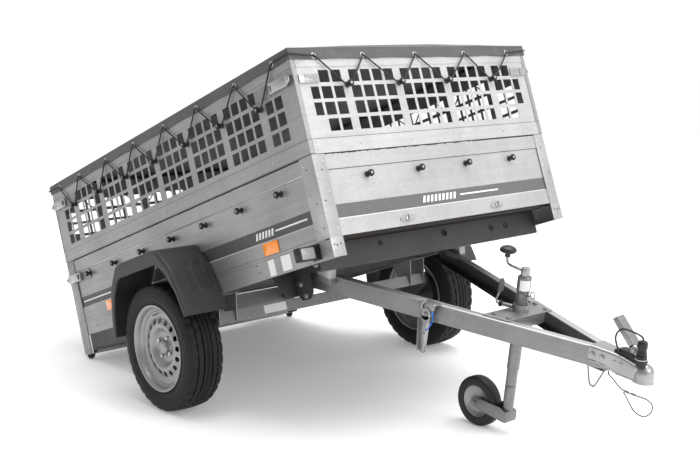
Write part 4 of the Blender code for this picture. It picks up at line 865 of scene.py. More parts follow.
hem, HEM_IN = [], 0.0006
for s in (-1, 1):
    seed = 2.0 if s > 0 else 7.0
    xs = [X0 + (X1 - X0) * k / 200 for k in range(201)]
    hem.append(swept([(x, s * (HALF + skirt_out(x, 1.0, SIDE_EYES, seed) - HEM_IN),
                       skirt_low(x, SIDE_EYES, seed) + HEM_IN) for x in xs], 0.0016, 8))
for s in (-1, 1):
    seed, base = (4.0, 0.0) if s > 0 else (9.0, -LENGTH)
    ys = [-Y0 + 2 * Y0 * k / 130 for k in range(131)]
    hem.append(swept([(base + s * (skirt_out(y, 1.0, FRONT_EYES, seed) - HEM_IN), y,
                       skirt_low(y, FRONT_EYES, seed) + HEM_IN) for y in ys], 0.0016, 8))
tarp_hem = make("tarp_hem", "box", tarp_cloth, hem, angle=60)

EYE_IN = 0.0012
eye_spots = [((x, s * (HALF + T_OUT - EYE_IN), SIDE_EYE_Z), (0, s, 0)) for s in (-1, 1) for x in SIDE_EYES]
eye_spots += [((base + s * (T_OUT - EYE_IN), y, END_EYE_Z), (s, 0, 0))
              for base, s in ((0.0, 1), (-LENGTH, -1)) for y in FRONT_EYES]
tarp_eyelets = make("tarp_eyelets", "box", zinc_plated, [torus(spot, way, 0.0094, 0.0026) for spot,
    way in eye_spots])
# Black discs inside the eyelets: painted shade in their open holes.
tarp_eyelet_hole_shade = make("tarp_eyelet_hole_shade", "box", black_rubber,
                         [washer(0.0085, 0.0012, spot, way, 20) for spot, way in eye_spots])

# the shock cord that laces the cloth to the knobs
ROPE_R = 0.0033
ROPE_OUT = T_OUT + ROPE_R + 0.0008


def tie_run(eyes, knobs, eye_z, heights):
    run = []
    for a, b, knob, height in zip(eyes, eyes[1:], knobs, heights):
        step = 0.0072 if b > a else -0.0072
        run += [(a, ROPE_OUT, eye_z), (knob - step, 0.0100, height - 0.0082),
                (knob + step, 0.0100, height - 0.0082)]
    return run + [(eyes[-1], ROPE_OUT, eye_z)]


side_ties = [-0.230] + sorted(SIDE_BARS[:-1], reverse=True)
side_heights = [0.612] + [KNOB_HIGH] * 6
go = tie_run(SIDE_EYES, side_ties, SIDE_EYE_Z, side_heights)
come = tie_run(SIDE_EYES[::-1], side_ties[::-1], SIDE_EYE_Z, side_heights[::-1])
cross = tie_run(FRONT_EYES, FRONT_BARS, END_EYE_Z, [KNOB_HIGH] * 4)
cross_back = tie_run(FRONT_EYES[::-1], FRONT_BARS[::-1], END_EYE_Z, [KNOB_HIGH] * 4)
CORNER, CORNER_OUT = 0.0055, ROPE_OUT + 0.001
route = [(out, y, z) for y, out, z in cross]
route += [(CORNER_OUT, HALF + CORNER, 0.751), (CORNER, HALF + CORNER_OUT, 0.752)]
route += [(x, HALF + out, z) for x, out, z in go]
route += [(-LENGTH - CORNER, HALF + CORNER_OUT, 0.752), (-LENGTH - CORNER_OUT, HALF + CORNER, 0.751)]
route += [(-LENGTH - out, y, z) for y, out, z in cross_back]
route += [(-LENGTH - CORNER_OUT, -HALF - CORNER, 0.751), (-LENGTH - CORNER, -HALF - CORNER_OUT, 0.752)]
route += [(x, -HALF - out, z) for x, out, z in come]
route += [(CORNER, -HALF - CORNER_OUT, 0.752), (CORNER_OUT, -HALF - CORNER, 0.751)]


def softened(points, reach):
    """A closed run with its corners turned in short curves, and points along the straights."""
    made, n = [], len(points)
    for i in range(n):
        here, before, after = Vector(points[i]), Vector(points[i - 1]), Vector(points[(i + 1) % n])
        a, b = before - here, after - here
        ra, rb = min(reach, a.length * 0.45), min(reach, b.length * 0.45)
        p, q = here + a.normalized() * ra, here + b.normalized() * rb
        made += [p * (1 - t) ** 2 + here * 2 * t * (1 - t) + q * t * t for t in (0, 0.25, 0.5, 0.75, 1)]
        far = after + (here - after).normalized() * min(reach, b.length * 0.45)
        count = int((far - q).length / 0.012)
        made += [q.lerp(far, k / (count + 1)) for k in range(1, count + 1)]
    return made


make("tarp_lacing", "box", shock_cord, [swept(softened(route, 0.007), ROPE_R, 12, 4, 420.0, closed=True)],
     angle=70, stands_for="tarp_rope")

# ---- mudguards ----
skin = [(-0.734, -0.067), (-0.749, 0.010), (-0.792, 0.136), (-0.868, 0.223), (-0.905, 0.232), (-1.195, 0.232),
        (-1.232, 0.223),
        (-1.308, 0.136), (-1.351, 0.010), (-1.366, -0.067)]
lip = [(-0.750, -0.067), (-0.775, 0.030), (-0.822, 0.112), (-0.880, 0.171), (-1.220, 0.171), (-1.275, 0.112),
       (-1.315, 0.030), (-1.340, -0.067)]
STEPS = 132


def bent(points, reach, count):
    """A line with its corners turned in short curves, read evenly."""
    p = [Vector((x, 0, z)) for x, z in points]
    dense = [p[0]]
    for before, here, after in zip(p, p[1:], p[2:]):
        a, b = before - here, after - here
        u, v = here + a.normalized() * min(reach, a.length * 0.48), here + b.normalized() * min(reach,
            b.length * 0.48)
        dense += [u * (1 - t) ** 2 + here * 2 * t * (1 - t) + v * t * t for t in (k / 8 for k in range(9))]
    dense.append(p[-1])
    return evenly(dense, count)


top_line = bent(skin, 0.020, STEPS)
low_line = bent(lip, 0.022, STEPS)
GUARD_IN, GUARD_OUT, ROUND = -HALF - 0.0010, -HALF - 0.200, 0.014


def soft_step(t):
    t = min(1.0, max(0.0, t))
    return t * t * (3 - 2 * t)


def pocket(t, y):
    """Depth of the two shallow recesses on the front slope."""
    depth = 0.0
    for a, b in ((0.672, 0.716), (0.728, 0.772)):
        across = soft_step((-y - a) / 0.005) * soft_step((b + y) / 0.005)
        depth = max(depth, across * soft_step((t - 0.095) / 0.014) * soft_step((0.232 - t) / 0.014))
    return depth * 0.0105


def guard_sections():
    points, width = [], 0
    for i in range(STEPS):
        top, low = top_line[i], low_line[i]
        drop = (low - top)
        depth = drop.length
        drop.normalize()
        ahead = top_line[min(i + 1, STEPS - 1)] - top_line[max(i - 1, 0)]
        inward = Vector((-ahead.z, 0, ahead.x)).normalized()
        if inward.dot(drop) < 0:
            inward = -inward
        section = [(GUARD_IN, inward * 0.016), (GUARD_IN, inward * 0.008), (GUARD_IN, inward * 0.003),
                   (GUARD_IN - 0.003, inward * 0.0)]
        flat = [GUARD_IN - 0.010 + (GUARD_OUT + ROUND - GUARD_IN + 0.010) * k / 44 for k in range(45)]
        section += [(y, inward * pocket(i / (STEPS - 1), y)) for y in flat]
        for k in range(1, 6):
            turn = k / 5 * math.pi / 2
            section.append((GUARD_OUT + ROUND * (1 - math.sin(turn)),
                            inward * (min(ROUND, depth * 0.5) * (1 - math.cos(turn)))))
        start = inward * min(ROUND, depth * 0.5)
        for k in range(1, 8):
            section.append((GUARD_OUT, start.lerp(low - top, k / 7)))
        section += [(GUARD_OUT + 0.003, (low - top) + drop * 0.0015),
                    (GUARD_OUT + 0.009, (low - top) + drop * 0.0015)]
        width = len(section)
        points += [(top.x + shift.x, y, top.z + shift.z) for y, shift in section]
    faces = [(i * width + k, i * width + k + 1, (i + 1) * width + k + 1, (i + 1) * width + k)
             for i in range(STEPS - 1) for k in range(width - 1)]
    return points, faces


def guard_piece(end, flip):
    points, faces = guard_sections()
    faces = [tuple(reversed(f)) for f in faces] if not flip else faces
    if flip:
        points = [(x, -y, z) for x, y, z in points]
    return make("mudguard_shell_" + end, "box", guard_plastic, [(points, faces)], thick=0.0032, angle=45,
                stands_for="mudguard_" + end)


guard_piece("right", False)
guard_piece("left", True)

# ---- wheels ----
wheel_at = Vector((AXLE[0], -WHEEL_Y, AXLE[1]))


def tyre_shape(segments=132):
    side = [(0.1755, 0.0725), (0.1790, 0.0738), (0.1850, 0.0742), (0.1885, 0.0764), (0.1905, 0.0792),
            (0.1945, 0.0796), (0.1970, 0.0784),
            (0.2060, 0.0808), (0.2140, 0.0818), (0.2150, 0.0825), (0.2175, 0.0825), (0.2185, 0.0820),
            (0.2290, 0.0822), (0.2300, 0.0826),
            (0.2325, 0.0824), (0.2335, 0.0815), (0.2430, 0.0798), (0.2500, 0.0782)]
    tread = [(0.2560, 0.0768, "s"), (0.2620, 0.0738, "s"), (0.2655, 0.0690, "s"), (0.2672, 0.0620, "s"),
             (0.2682, 0.0490, "s"),
             (0.2620, 0.0482, "g"), (0.2612, 0.0440, "g"), (0.2688, 0.0430, "m"), (0.2694, 0.0340, "m"),
             (0.2697, 0.0225, "m"),
             (0.2625, 0.0215, "g"), (0.2620, 0.0172, "g"), (0.2699, 0.0162, "c"), (0.2700, 0.0080, "c"),
             (0.2640, 0.0030, "g")]
    half = [(r, d, "w") for r, d in side] + tread
    profile = half + [(r, -d, k) for r, d, k in reversed(half)]
    points = []
    across, other = Vector(UP), Vector(SIDEWAYS).cross(Vector(UP))
    for s in range(segments):
        turn = 2 * math.pi * s / segments
        phase = s % 4
        for r, d, kind in profile:
            if kind == "s" and phase == 0:
                r -= 0.0050
            if kind == "m" and phase == (2 if d > 0 else 1):
                r -= 0.0034
            if kind == "w" and r > 0.246 and phase == 0:
                r -= 0.0015
            skew = 0.5 * 2 * math.pi / segments * (abs(d) / 0.07) if kind in "smgc" else 0.5 * 2 * math.pi / segments
            way = across * math.cos(turn + skew) + other * math.sin(turn + skew)
            points.append(tuple(wheel_at + way * r + Vector(SIDEWAYS) * d))
    n = len(profile)
    faces = [(s * n + k, s * n + (k + 1) % n, ((s + 1) % segments) * n + (k + 1) % n, ((s + 1) % segments) * n + k)
             for s in range(segments) for k in range(n)]
    return points, faces


WHEELS = ("wheel_r", "wheel_l")
pair("road_tyre", WHEELS, tyre_rubber, [tyre_shape()], ["tyre"], angle=30)


def vented_disc(segments=160, vents=16):
    """The pressed disc as a polar grid, with a round vent opened in every tenth part of it."""
    rows = [(0.0005, 0.0545), (0.012, 0.0542), (0.0215, 0.0530), (0.0265, 0.0505), (0.0288, 0.0460),
            (0.0294, 0.0380), (0.0315, 0.0332), (0.0345, 0.0312),
            (0.0460, 0.0306), (0.0600, 0.0308), (0.0665, 0.0326), (0.0720, 0.0380), (0.0765, 0.0448),
            (0.0810, 0.0500), (0.0862, 0.0532), (0.0925, 0.0545),
            (0.0985, 0.0542), (0.1040, 0.0528), (0.1085, 0.0514), (0.1130, 0.0498), (0.1175, 0.0482),
            (0.1220, 0.0466), (0.1270, 0.0452), (0.1330, 0.0446),
            (0.1385, 0.0452), (0.1440, 0.0470), (0.1490, 0.0484), (0.1535, 0.0486)]
    middle, reach = 19, 0.0116
    per = segments // vents
    points = []
    across, other = Vector(UP), Vector(SIDEWAYS).cross(Vector(UP))
    for k, (r, d) in enumerate(rows):
        for s in range(segments):
            turn, far = 2 * math.pi * s / segments, r
            col, line = (s % per) - per // 2, k - middle
            if max(abs(col), abs(line)) == 2 and abs(line) <= 2:
                along_it, out_of_it = col * 2 * math.pi / segments * rows[middle][0], r - rows[middle][0]
                size = math.hypot(along_it, out_of_it)
                far = rows[middle][0] + out_of_it * reach / size
                turn = 2 * math.pi * (s - col) / segments + along_it * reach / size / rows[middle][0]
            points.append(tuple(wheel_at + (across * math.cos(turn) + other * math.sin(turn)) * far 
                                + Vector(SIDEWAYS) * d))
    faces = []
    for k in range(len(rows) - 1):
        for s in range(segments):
            if middle - 2 <= k < middle + 2 and -2 <= (s % per) - per // 2 < 2:
                continue
            t = (s + 1) % segments
            faces.append((k * segments + s, k * segments + t, (k + 1) * segments + t, (k + 1) * segments + s))
    used = sorted({i for f in faces for i in f})
    order = {old: new for new, old in enumerate(used)}
    return [points[i] for i in used], [tuple(order[i] for i in f) for f in faces]


barrel = [(0.1500, 0.0440), (0.1532, 0.0500), (0.1560, 0.0545), (0.1618, 0.0570), (0.1650, 0.0590),
          (0.1668, 0.0640), (0.1690, 0.0690), (0.1712, 0.0735),
          (0.1745, 0.0770), (0.1810, 0.0796), (0.1832, 0.0790), (0.1838, 0.0765), (0.1800, 0.0750),
          (0.1752, 0.0725), (0.1740, 0.0640),
          (0.1600, 0.0500), (0.1560, -0.0500), (0.1740, -0.0640), (0.1752, -0.0725), (0.1800, -0.0750),
          (0.1838, -0.0765),
          (0.1832, -0.0790), (0.1810, -0.0796), (0.1745, -0.0772), (0.1712, -0.0740), (0.1700, -0.0640),
          (0.1530, -0.0560), (0.1500, -0.0400)]
pair("rim_barrel", WHEELS, silver, [ring(barrel, wheel_at, SIDEWAYS, 96)], ["wheel_rim"])
pair("rim_disc", WHEELS, silver, [vented_disc()], thick=0.003, angle=50)
hub_parts = [turned([(0.060, -0.045), (0.100, -0.040), (0.104, -0.004), (0.098, 0.004), (0.050, 0.006),
                     (0.048, 0.028), (0.0, 0.0285)], wheel_at, SIDEWAYS, 48)]
pair("wheel_hub", WHEELS, steel_dark, hub_parts)
bolt_parts = []
for k in range(4):
    turn = math.pi / 4 + math.pi / 2 * k
    spot = wheel_at + Vector((math.cos(turn) * 0.046, 0, math.sin(turn) * 0.046))
    bolt_parts += [turned([(0.0135, 0.0290), (0.0135, 0.0325), (0.0105, 0.0345)], spot, SIDEWAYS, 24),
                   turned([(0.0094, 0.0320), (0.0094, 0.0440), (0.0082, 0.0460), (0.0, 0.0463)], spot, SIDEWAYS, 6,
                          0.3)]
valve = wheel_at + Vector((0.0, 0, 0.142))
bolt_parts.append(rod(valve + Vector((0, -0.040, 0)), valve + Vector((0, -0.070, -0.004)), 0.0038, 14, 0.0008))
pair("wheel_bolts", WHEELS, zinc_plated, bolt_parts)

# ---- lamps ----
lamp_outline = eased(oblong(-0.113, -0.078, 0.010, 0.061), 0.006)
pair("marker_housing", "box", black_rubber, [prism(lamp_outline, -0.7335, -0.6460, "Y"),
    plate(-0.122, -0.070, 0.006, 0.065, 0.6430, 0.0040, 0.004)],
     ["marker_lamp"], bevel=0.0020)
lens_outline = eased(oblong(-0.7275, -0.6680, 0.0150, 0.0560), 0.005)
pair("marker_lens", "box", lens_clear, [prism(lens_outline, -0.0800, -0.0735, "X")], bevel=0.0018)
rear_outline = eased(oblong(-0.555, -0.355, -0.078, 0.028), 0.010)
pair("rear_lamp_housing", "box", black_plastic, [prism(rear_outline, -2.1000, -2.0730, "X")], ["rear_lamp"],
     bevel=0.002)
red_half = eased(oblong(-0.549, -0.420, -0.072, 0.022), 0.006)
amber_half = eased(oblong(-0.4185, -0.361, -0.072, 0.022), 0.006)
pair("rear_lens_red", "box", lamp_red, [prism(red_half, -2.1085, -2.0990, "X")], bevel=0.0016)
pair("rear_lens_amber", "box", lamp_amber, [prism(amber_half, -2.1085, -2.0990, "X")], bevel=0.0016)

# ---- small fixings on the chassis ----
grommets = [torus((-0.1285, y, z), FORE, r, 0.0028) for y, z, r in
            ((-0.30, 0.035, 0.008), (0.05, 0.032, 0.012), (0.33, 0.020, 0.010), (0.42, 0.020, 0.010))]
make("chassis_grommets", "box", black_rubber, grommets)
bolts = []
for x, z in ((-0.518, 0.040), (-0.518, -0.040), (-0.460, 0.040), (-0.500, -0.090)):
    bolts += [washer(0.0125, 0.0014, (x, -0.4220, z), SIDEWAYS, 20),
              hexagon((x, -0.4234, z), SIDEWAYS, 0.0096, 0.0066)]
bolts += [washer(0.0170, 0.0016, (PIVOT.x, -0.4340, PIVOT.z), SIDEWAYS, 24),
          hexagon((PIVOT.x, -0.4356, PIVOT.z), SIDEWAYS, 0.0135, 0.0080)]
pair("bracket_bolts", "box", zinc_plated, bolts)
feet = turned([(0.0, -0.0198), (0.0050, -0.0192), (0.0100, -0.0172), (0.0148, -0.0132), (0.0184, -0.0073),
               (0.0198, 0.0), (0.0198, 0.0016),
               (0.0190, 0.0020), (0.0, 0.0020)], (-2.056, -0.624, -0.0965), UP, 32)
stud = turned([(0.0046, 0.0015), (0.0046, 0.0110), (0.0030, 0.0120), (0.0, 0.0120)], (-2.056, -0.624, -0.0965), UP,
              16)
pair("rear_foot_rubber", "box", black_rubber, [feet, stud], ["rear_foot"])
catch_parts = []
for side in (-1, 1):
    y = side * 0.253
    catch_parts += [prism(eased([(y - 0.036, 0.0935), (y - 0.020, 0.0880), (y + 0.020, 0.0880),
                                 (y + 0.036, 0.0935), (y + 0.036, 0.1045), (y + 0.016, 0.1130),
                                 (y - 0.016, 0.1130), (y - 0.036, 0.1045)], 0.004), -0.0024, 0.0012, "X"),
                    turned([(0.0125, 0.0), (0.0130, 0.0030), (0.0118, 0.0060), (0.0070, 0.0072)],
                           (0.0010, y, 0.1000), FORE, 24),
                    prism(eased([(y - 0.0035, 0.0900), (y + 0.0035, 0.0900), (y + 0.0050, 0.1120),
                                 (y - 0.0050, 0.1120)], 0.002), 0.0050, 0.0150, "X")]
    for dy in (-0.029, 0.029):
        catch_parts.append(dome((0.0010, y + dy, 0.0990), FORE, 0.0040, 0.0026))
make("front_catches", "box", zinc_plated, catch_parts)


# ---- over-centre latches ----
def latch(name, a, b, low, high, way, bodies, nodes):
    """Lever with rolled edges: pivot roll at a, hooked grip at b."""
    out = HALF + 0.0022
    lo, hi = min(a, b), max(a, b)
    mid, half = (low + high) / 2, (high - low) / 2
    # channel section: web outside, two walls inwards
    walls = [(-out - 0.0012, low), (-out - 0.0140, low), (-out - 0.0140, high), (-out - 0.0012, high),
             (-out - 0.0012, high - 0.0022),
             (-out - 0.0118, high - 0.0022), (-out - 0.0118, low + 0.0022), (-out - 0.0012, low + 0.0022)]
    section = eased(walls, {1: 0.0034, 2: 0.0034, 5: 0.0016, 6: 0.0016}, 3)
    first, last = a + way * 0.016, b - way * 0.020
    solids = [prism(section, min(first, last), max(first, last), "X")]
    tip = [(last, low), (b + way * 0.003, low + half * 0.45), (b + way * 0.006, low + half * 0.8),
           (b + way * 0.006, high - half * 0.8),
           (b + way * 0.003, high - half * 0.45), (last, high)]
    solids.append(prism(tip, -out - 0.0140, -out - 0.0118, "Y"))
    solids.append(rod((b + way * 0.004, -out - 0.0152, low + half * 0.7),
                      (b + way * 0.004, -out - 0.0152, high - half * 0.7), 0.0022, 12))
    solids.append(rod((a, -out - 0.0065, low - 0.0005), (a, -out - 0.0065, high + 0.0005), 0.0055, 24, 0.0008))
    for z0, z1 in ((low, low + 0.009), (high - 0.009, high)):
        solids.append(prism(eased([(a - way * 0.001, -out - 0.0120), (first + way * 0.004, -out - 0.0140),
                                   (first + way * 0.004, -out - 0.0020), (a - way * 0.001, -out - 0.0020)],
                                   0.0016), z0, z1, "Z"))
    solids += [dome((a + way * 0.034, -out - 0.0140, mid), SIDEWAYS, 0.0040, 0.0018),
               dome((a + way * 0.088, -out - 0.0140, mid), SIDEWAYS, 0.0040, 0.0018)]
    pair(name, bodies, zinc_plated, solids, nodes, bevel=0.0004)


latch("latch_lever_front_top", -0.138, -0.014, 0.6425, 0.6835, 1, ("latch_front_top_r", "latch_front_top_l"),
      ["latch_front_top"])
latch("latch_lever_rear_top", -1.943, -2.066, 0.6425, 0.6835, -1, ("latch_rear_top_r", "latch_rear_top_l"),
      ["latch_rear_top"])
latch("latch_lever_rear_mid", -1.943, -2.066, 0.2660, 0.3080, -1, ("latch_rear_mid_r", "latch_rear_mid_l"),
      ["latch_rear_mid"])


def latch_base(x0, x1, z0, z1, out):
    parts = [plate(x0, x1, z0, z1, out, 0.0022, 0.004)]
    inset = 0.011
    for x in (x0 + inset, x1 - inset):
        for z in (z0 + 0.010, z1 - 0.010):
            parts.append(dome((x, -out - 0.0022, z), SIDEWAYS, 0.0040, 0.0018))
    return parts


base_parts = latch_base(-0.250, -0.152, 0.639, 0.686, HALF + 0.0012) + latch_base(-1.931, -1.830, 0.639, 0.686,
    HALF + 0.0012)
base_parts += latch_base(-1.931, -1.850, 0.262, 0.311, HALF - 0.0030)
# The bases take the darker axle zinc as painted shade behind the bright levers.
pair("latch_bases", "box", zinc_axle, base_parts)
y0, y1 = -0.6235, -0.5330
outline = eased(oblong(y0, y1, 0.6405, 0.6740), 0.004)
strap_parts = [prism(outline, 0.0024, 0.0044, "X"), prism(oblong(y0 + 0.026, y0 + 0.031, 0.6415, 0.6730), 0.0040,
    0.0062, "X")]
strap_parts += [dome((0.0044, y, z), FORE, 0.0038, 0.0018) for y in (y1 - 0.010, y1 - 0.036) for z in (0.649,
    0.6655)]
strap_parts += [(changed(s, Matrix.Translation((-LENGTH, 0, 0)) @ Matrix.Diagonal((-1, 1, 1,
    1)))) for s in list(strap_parts)]
pair("latch_straps", "box", zinc_plated, strap_parts, bevel=0.0003)

# ---- drawbar ----
turn_right = Matrix.Rotation(ARM_ANGLE, 4, "Z")


def on_arm(reach, out, z):
    spot = turn_right @ Vector((reach, -out, 0.0))
    return (spot.x, spot.y - ARM_Y, z)


def arm_solid(solid):
    return [on_arm(*p) for p in solid[0]], solid[1]


S0, S1 = -0.115 / math.cos(ARM_ANGLE), 1.120 / math.cos(ARM_ANGLE)
arm_section = eased([(0.0, ARM_LOW), (0.0, ARM_TOP), (-0.035, ARM_TOP), (-0.035, ARM_TOP - 0.003),
                     (-0.003, ARM_TOP - 0.003),
                     (-0.003, ARM_LOW + 0.003), (-0.035, ARM_LOW + 0.003), (-0.035, ARM_LOW)],
                    {0: 0.0065, 1: 0.0065, 4: 0.0040, 5: 0.0040}, 6)
arm = arm_solid(prism(arm_section, S0, S1, "X"))
ear = prism(eased([(-0.045, ARM_TOP - 0.030), (0.045, ARM_TOP - 0.030), (0.026, 0.016), (0.012, 0.025),
                   (-0.012, 0.025), (-0.026, 0.016)], 0.008),
            -0.3900, -0.3560, "Y")
bracket = [prism(eased([(0.415, ARM_TOP + 0.0035), (0.492, ARM_TOP + 0.0035), (0.480, -0.092), (0.466, -0.106),
                        (0.440, -0.106), (0.424, -0.092)], 0.005), -0.2535, -0.2500, "Y"),
           block((0.420, -0.2515, ARM_TOP), (0.488, -0.2150, ARM_TOP + 0.0035)),
           rod((0.452, -0.2760, -0.092), (0.452, -0.2510, -0.092), 0.0048, 16, 0.0008)]
# the far arm takes the painted-shade copy of the arm zinc
for name, look, solids, nodes, clip_way in (("arm_right", zinc_bar, [arm, ear], "drawbar_arm_right", 1),
                                            ("arm_left", zinc_painted_shade_far_bar, [mirrored(arm), mirrored(ear)],
                                                "drawbar_arm_left", -1)):
    bar_piece(name, "drawbar", look, solids, stands_for=nodes, bevel=0.0005,
              clip=((0.0, -clip_way * 0.0006, 0.0), (0.0, clip_way, 0.0)))
bar_piece("lock_bracket", "drawbar", zinc_bright, bracket, bevel=0.0006)
bar_piece("arm_rivets", "drawbar", zinc_bright, [rod((0.430, -0.245, ARM_TOP + 0.002),
    (0.430, -0.245, ARM_TOP + 0.008), 0.006, 16, 0.001)])

lx, ly, lz = 0.452, -0.2420, -0.092
lever = [prism(eased([(lx - 0.026, lz - 0.028), (lx + 0.022, lz - 0.028), (lx + 0.017, lz - 0.148),
                      (lx + 0.010, lz - 0.156), (lx - 0.010, lz - 0.156), (lx - 0.017, lz - 0.148)], 0.003),
                      ly - 0.0160, ly - 0.0135, "Y"),
         prism([(lx - 0.026, lz - 0.026), (lx - 0.0235, lz - 0.026), (lx - 0.0145, lz - 0.150),
                (lx - 0.0170, lz - 0.150)], ly - 0.0300, ly - 0.0140, "Y"),
         prism([(lx + 0.0195, lz - 0.026), (lx + 0.022, lz - 0.026), (lx + 0.017, lz - 0.150),
                (lx + 0.0145, lz - 0.150)], ly - 0.0300, ly - 0.0140, "Y"),
         ring(oblong(0.0100, 0.0240, 0.0, 0.0060), (lx, ly - 0.0130, lz), SIDEWAYS, 40),
         ring(oblong(0.0056, 0.0110, 0.0010, 0.0050), (lx, ly - 0.0130, lz), SIDEWAYS, 32),
         prism(eased([(lx - 0.020, lz - 0.005), (lx + 0.020, lz - 0.005), (lx + 0.022, lz - 0.034),
                      (lx - 0.026, lz - 0.034)], 0.003), ly - 0.0190, ly - 0.0130, "Y"),
         prism(eased([(lx - 0.022, lz), (lx - 0.012, lz + 0.004), (lx - 0.020, lz + 0.028),
                      (lx - 0.006, lz + 0.047), (lx - 0.012, lz + 0.055), (lx - 0.034, lz + 0.036),
                      (lx - 0.034, lz + 0.016)], 0.004), ly - 0.0185, ly - 0.0135, "Y"),
         dome((lx, ly - 0.0160, lz - 0.078), SIDEWAYS, 0.0060, 0.0030, 16),
         dome((lx, ly - 0.0190, lz), SIDEWAYS, 0.0088, 0.0030, 20)]
bar_piece("lock_lever_bright", "lock", zinc_bright, lever, bevel=0.0005, stands_for="tip_lock_lever")

bridge = [prism(eased([(0.640, -0.158), (0.742, -0.126), (0.742, 0.126), (0.640, 0.158)], 0.006), ARM_TOP + 0.0006,
                ARM_TOP + 0.0046, "Z")]
for y, x0, x1 in ((-0.086, 0.738, 0.742), (-0.112, 0.640, 0.644)):
    bridge.append(prism(eased([(y, ARM_TOP - 0.040), (-y, ARM_TOP - 0.040), (-y - 0.004, ARM_TOP + 0.003),
                               (y + 0.004, ARM_TOP + 0.003)], {0: 0.01, 1: 0.01}), x0, x1, "X"))
bridge.append(ring([(0.0248, ARM_TOP - 0.045), (0.0292, ARM_TOP - 0.045), (0.0300, ARM_TOP - 0.043),
                    (0.0300, ARM_TOP + 0.032), (0.0292, ARM_TOP + 0.034), (0.0248, ARM_TOP + 0.034)],
                   (JOCKEY_X, 0, 0), UP, 48))
bridge.append(torus((JOCKEY_X, 0, ARM_TOP + 0.0050), UP, 0.0305, 0.0022, 48))
bridge.append(rod((0.630, -0.0360, -0.0325), (0.668, -0.0210, -0.0325), 0.0080, 20, 0.001))
for x, y in ((0.664, -0.118), (0.664, 0.118), (0.724, -0.106), (0.724, 0.106)):
    bridge += [washer(0.0110, 0.0014, (x, y, ARM_TOP + 0.0046), UP, 20),
               hexagon((x, y, ARM_TOP + 0.0060), UP, 0.0086, 0.0056)]
bar_piece("jockey_bridge", "drawbar", zinc_bar_dark, bridge, bevel=0.0005, stands_for="cross_plate")

# jockey wheel unit
tube = ring([(0.0212, -0.280), (0.0236, -0.280), (0.0240, -0.278), (0.0240, 0.024), (0.0246, 0.028),
             (0.0262, 0.031), (0.0262, 0.084), (0.0252, 0.088),
             (0.0232, 0.0905), (0.0090, 0.0905), (0.0090, 0.0700), (0.0212, 0.0700)], (JOCKEY_X, 0, 0), UP, 64)
bar_piece("jockey_outer_tube", "jockey_outer", zinc_leg, [tube], stands_for="jockey_tube")
bar_piece("tube_ring_pin", "jockey_outer", zinc_bright, [torus((JOCKEY_X + 0.0500, -0.004, 0.030), (0.25, 1, 0),
    0.0130, 0.0024, 32, 10),
                                                         rod((JOCKEY_X + 0.022, -0.002, 0.018),
                                                             (JOCKEY_X + 0.040, -0.003, 0.024), 0.0030, 14,
                                                             0.0006)])


def curved_label(radius, low, high, start, end, steps=16):
    points, faces = [], []
    for k in range(steps + 1):
        turn = R(start + (end - start) * k / steps)
        for r in (radius, radius + 0.0003):
            for z in (low, high):
                points.append((JOCKEY_X + math.cos(turn) * r, math.sin(turn) * r, z))
    for k in range(steps):
        a, b = 4 * k, 4 * k + 4
        faces += [(a, a + 1, b + 1, b), (a + 2, b + 2, b + 3, a + 3), (a, b, b + 2, a + 2),
                  (a + 1, a + 3, b + 3, b + 1)]
    return points, faces + [(0, 2, 3, 1), (4 * steps, 4 * steps + 1, 4 * steps + 3, 4 * steps + 2)]


bar_piece("jockey_label", "jockey_outer", label_white, [curved_label(0.0262, 0.038, 0.078, -85, 5)])
leg_parts = [turned([(0.0105, -0.345), (0.0209, -0.345), (0.0209, -0.4605)], (JOCKEY_X, 0, 0), UP, 48),
             ring([(0.0105, -0.350), (0.0209, -0.350), (0.0209, -0.022), (0.0203, -0.020), (0.0105, -0.020)],
                  (JOCKEY_X, 0, 0), UP, 48)]
fork_outline = eased([(JW[0] - 0.020, JW[1] - 0.020), (JOCKEY_X + 0.0205, -0.4945), (JOCKEY_X + 0.0205, -0.4520),
                      (JOCKEY_X - 0.02, -0.4420),
                      (JW[0] + 0.004, JW[1] + 0.022), (JW[0] - 0.018, JW[1] + 0.014)], 0.010)
for s in (-1, 1):
    y0, y1 = sorted((s * 0.0275, s * 0.0315))
    leg_parts += [prism(fork_outline, y0, y1, "Y"),
                  washer(0.0120, 0.0018, (JW[0], s * 0.0315, JW[1]), (0, s, 0), 24),
                  hexagon((JW[0], s * 0.0333, JW[1]), (0, s, 0), 0.0100, 0.0062)]
leg_parts.append(prism(eased(oblong(JOCKEY_X - 0.0205, JOCKEY_X + 0.0205, -0.4945, -0.4500), 0.006), -0.0300,
                       0.0300, "Y"))
leg_parts.append(rod((JW[0], -0.034, JW[1]), (JW[0], 0.034, JW[1]), 0.0070, 20))
bar_piece("jockey_inner_leg", "jockey_inner", zinc_leg, leg_parts, bevel=0.0005, stands_for="jockey_leg")
tyre_ring = [(0.0610, -0.0205), (0.0650, -0.0232), (0.0700, -0.0236), (0.0900, -0.0242), (0.0955, -0.0222),
             (0.0988, -0.0180), (0.1000, -0.0120),
             (0.1000, 0.0120), (0.0988, 0.0180), (0.0955, 0.0222), (0.0900, 0.0242), (0.0700, 0.0236),
             (0.0650, 0.0232), (0.0610, 0.0205)]
bar_piece("jockey_tyre", "jockey_roller", black_rubber, [ring(tyre_ring, (JW[0], 0, JW[1]), (0, 1, 0), 72)],
          stands_for="jockey_wheel")
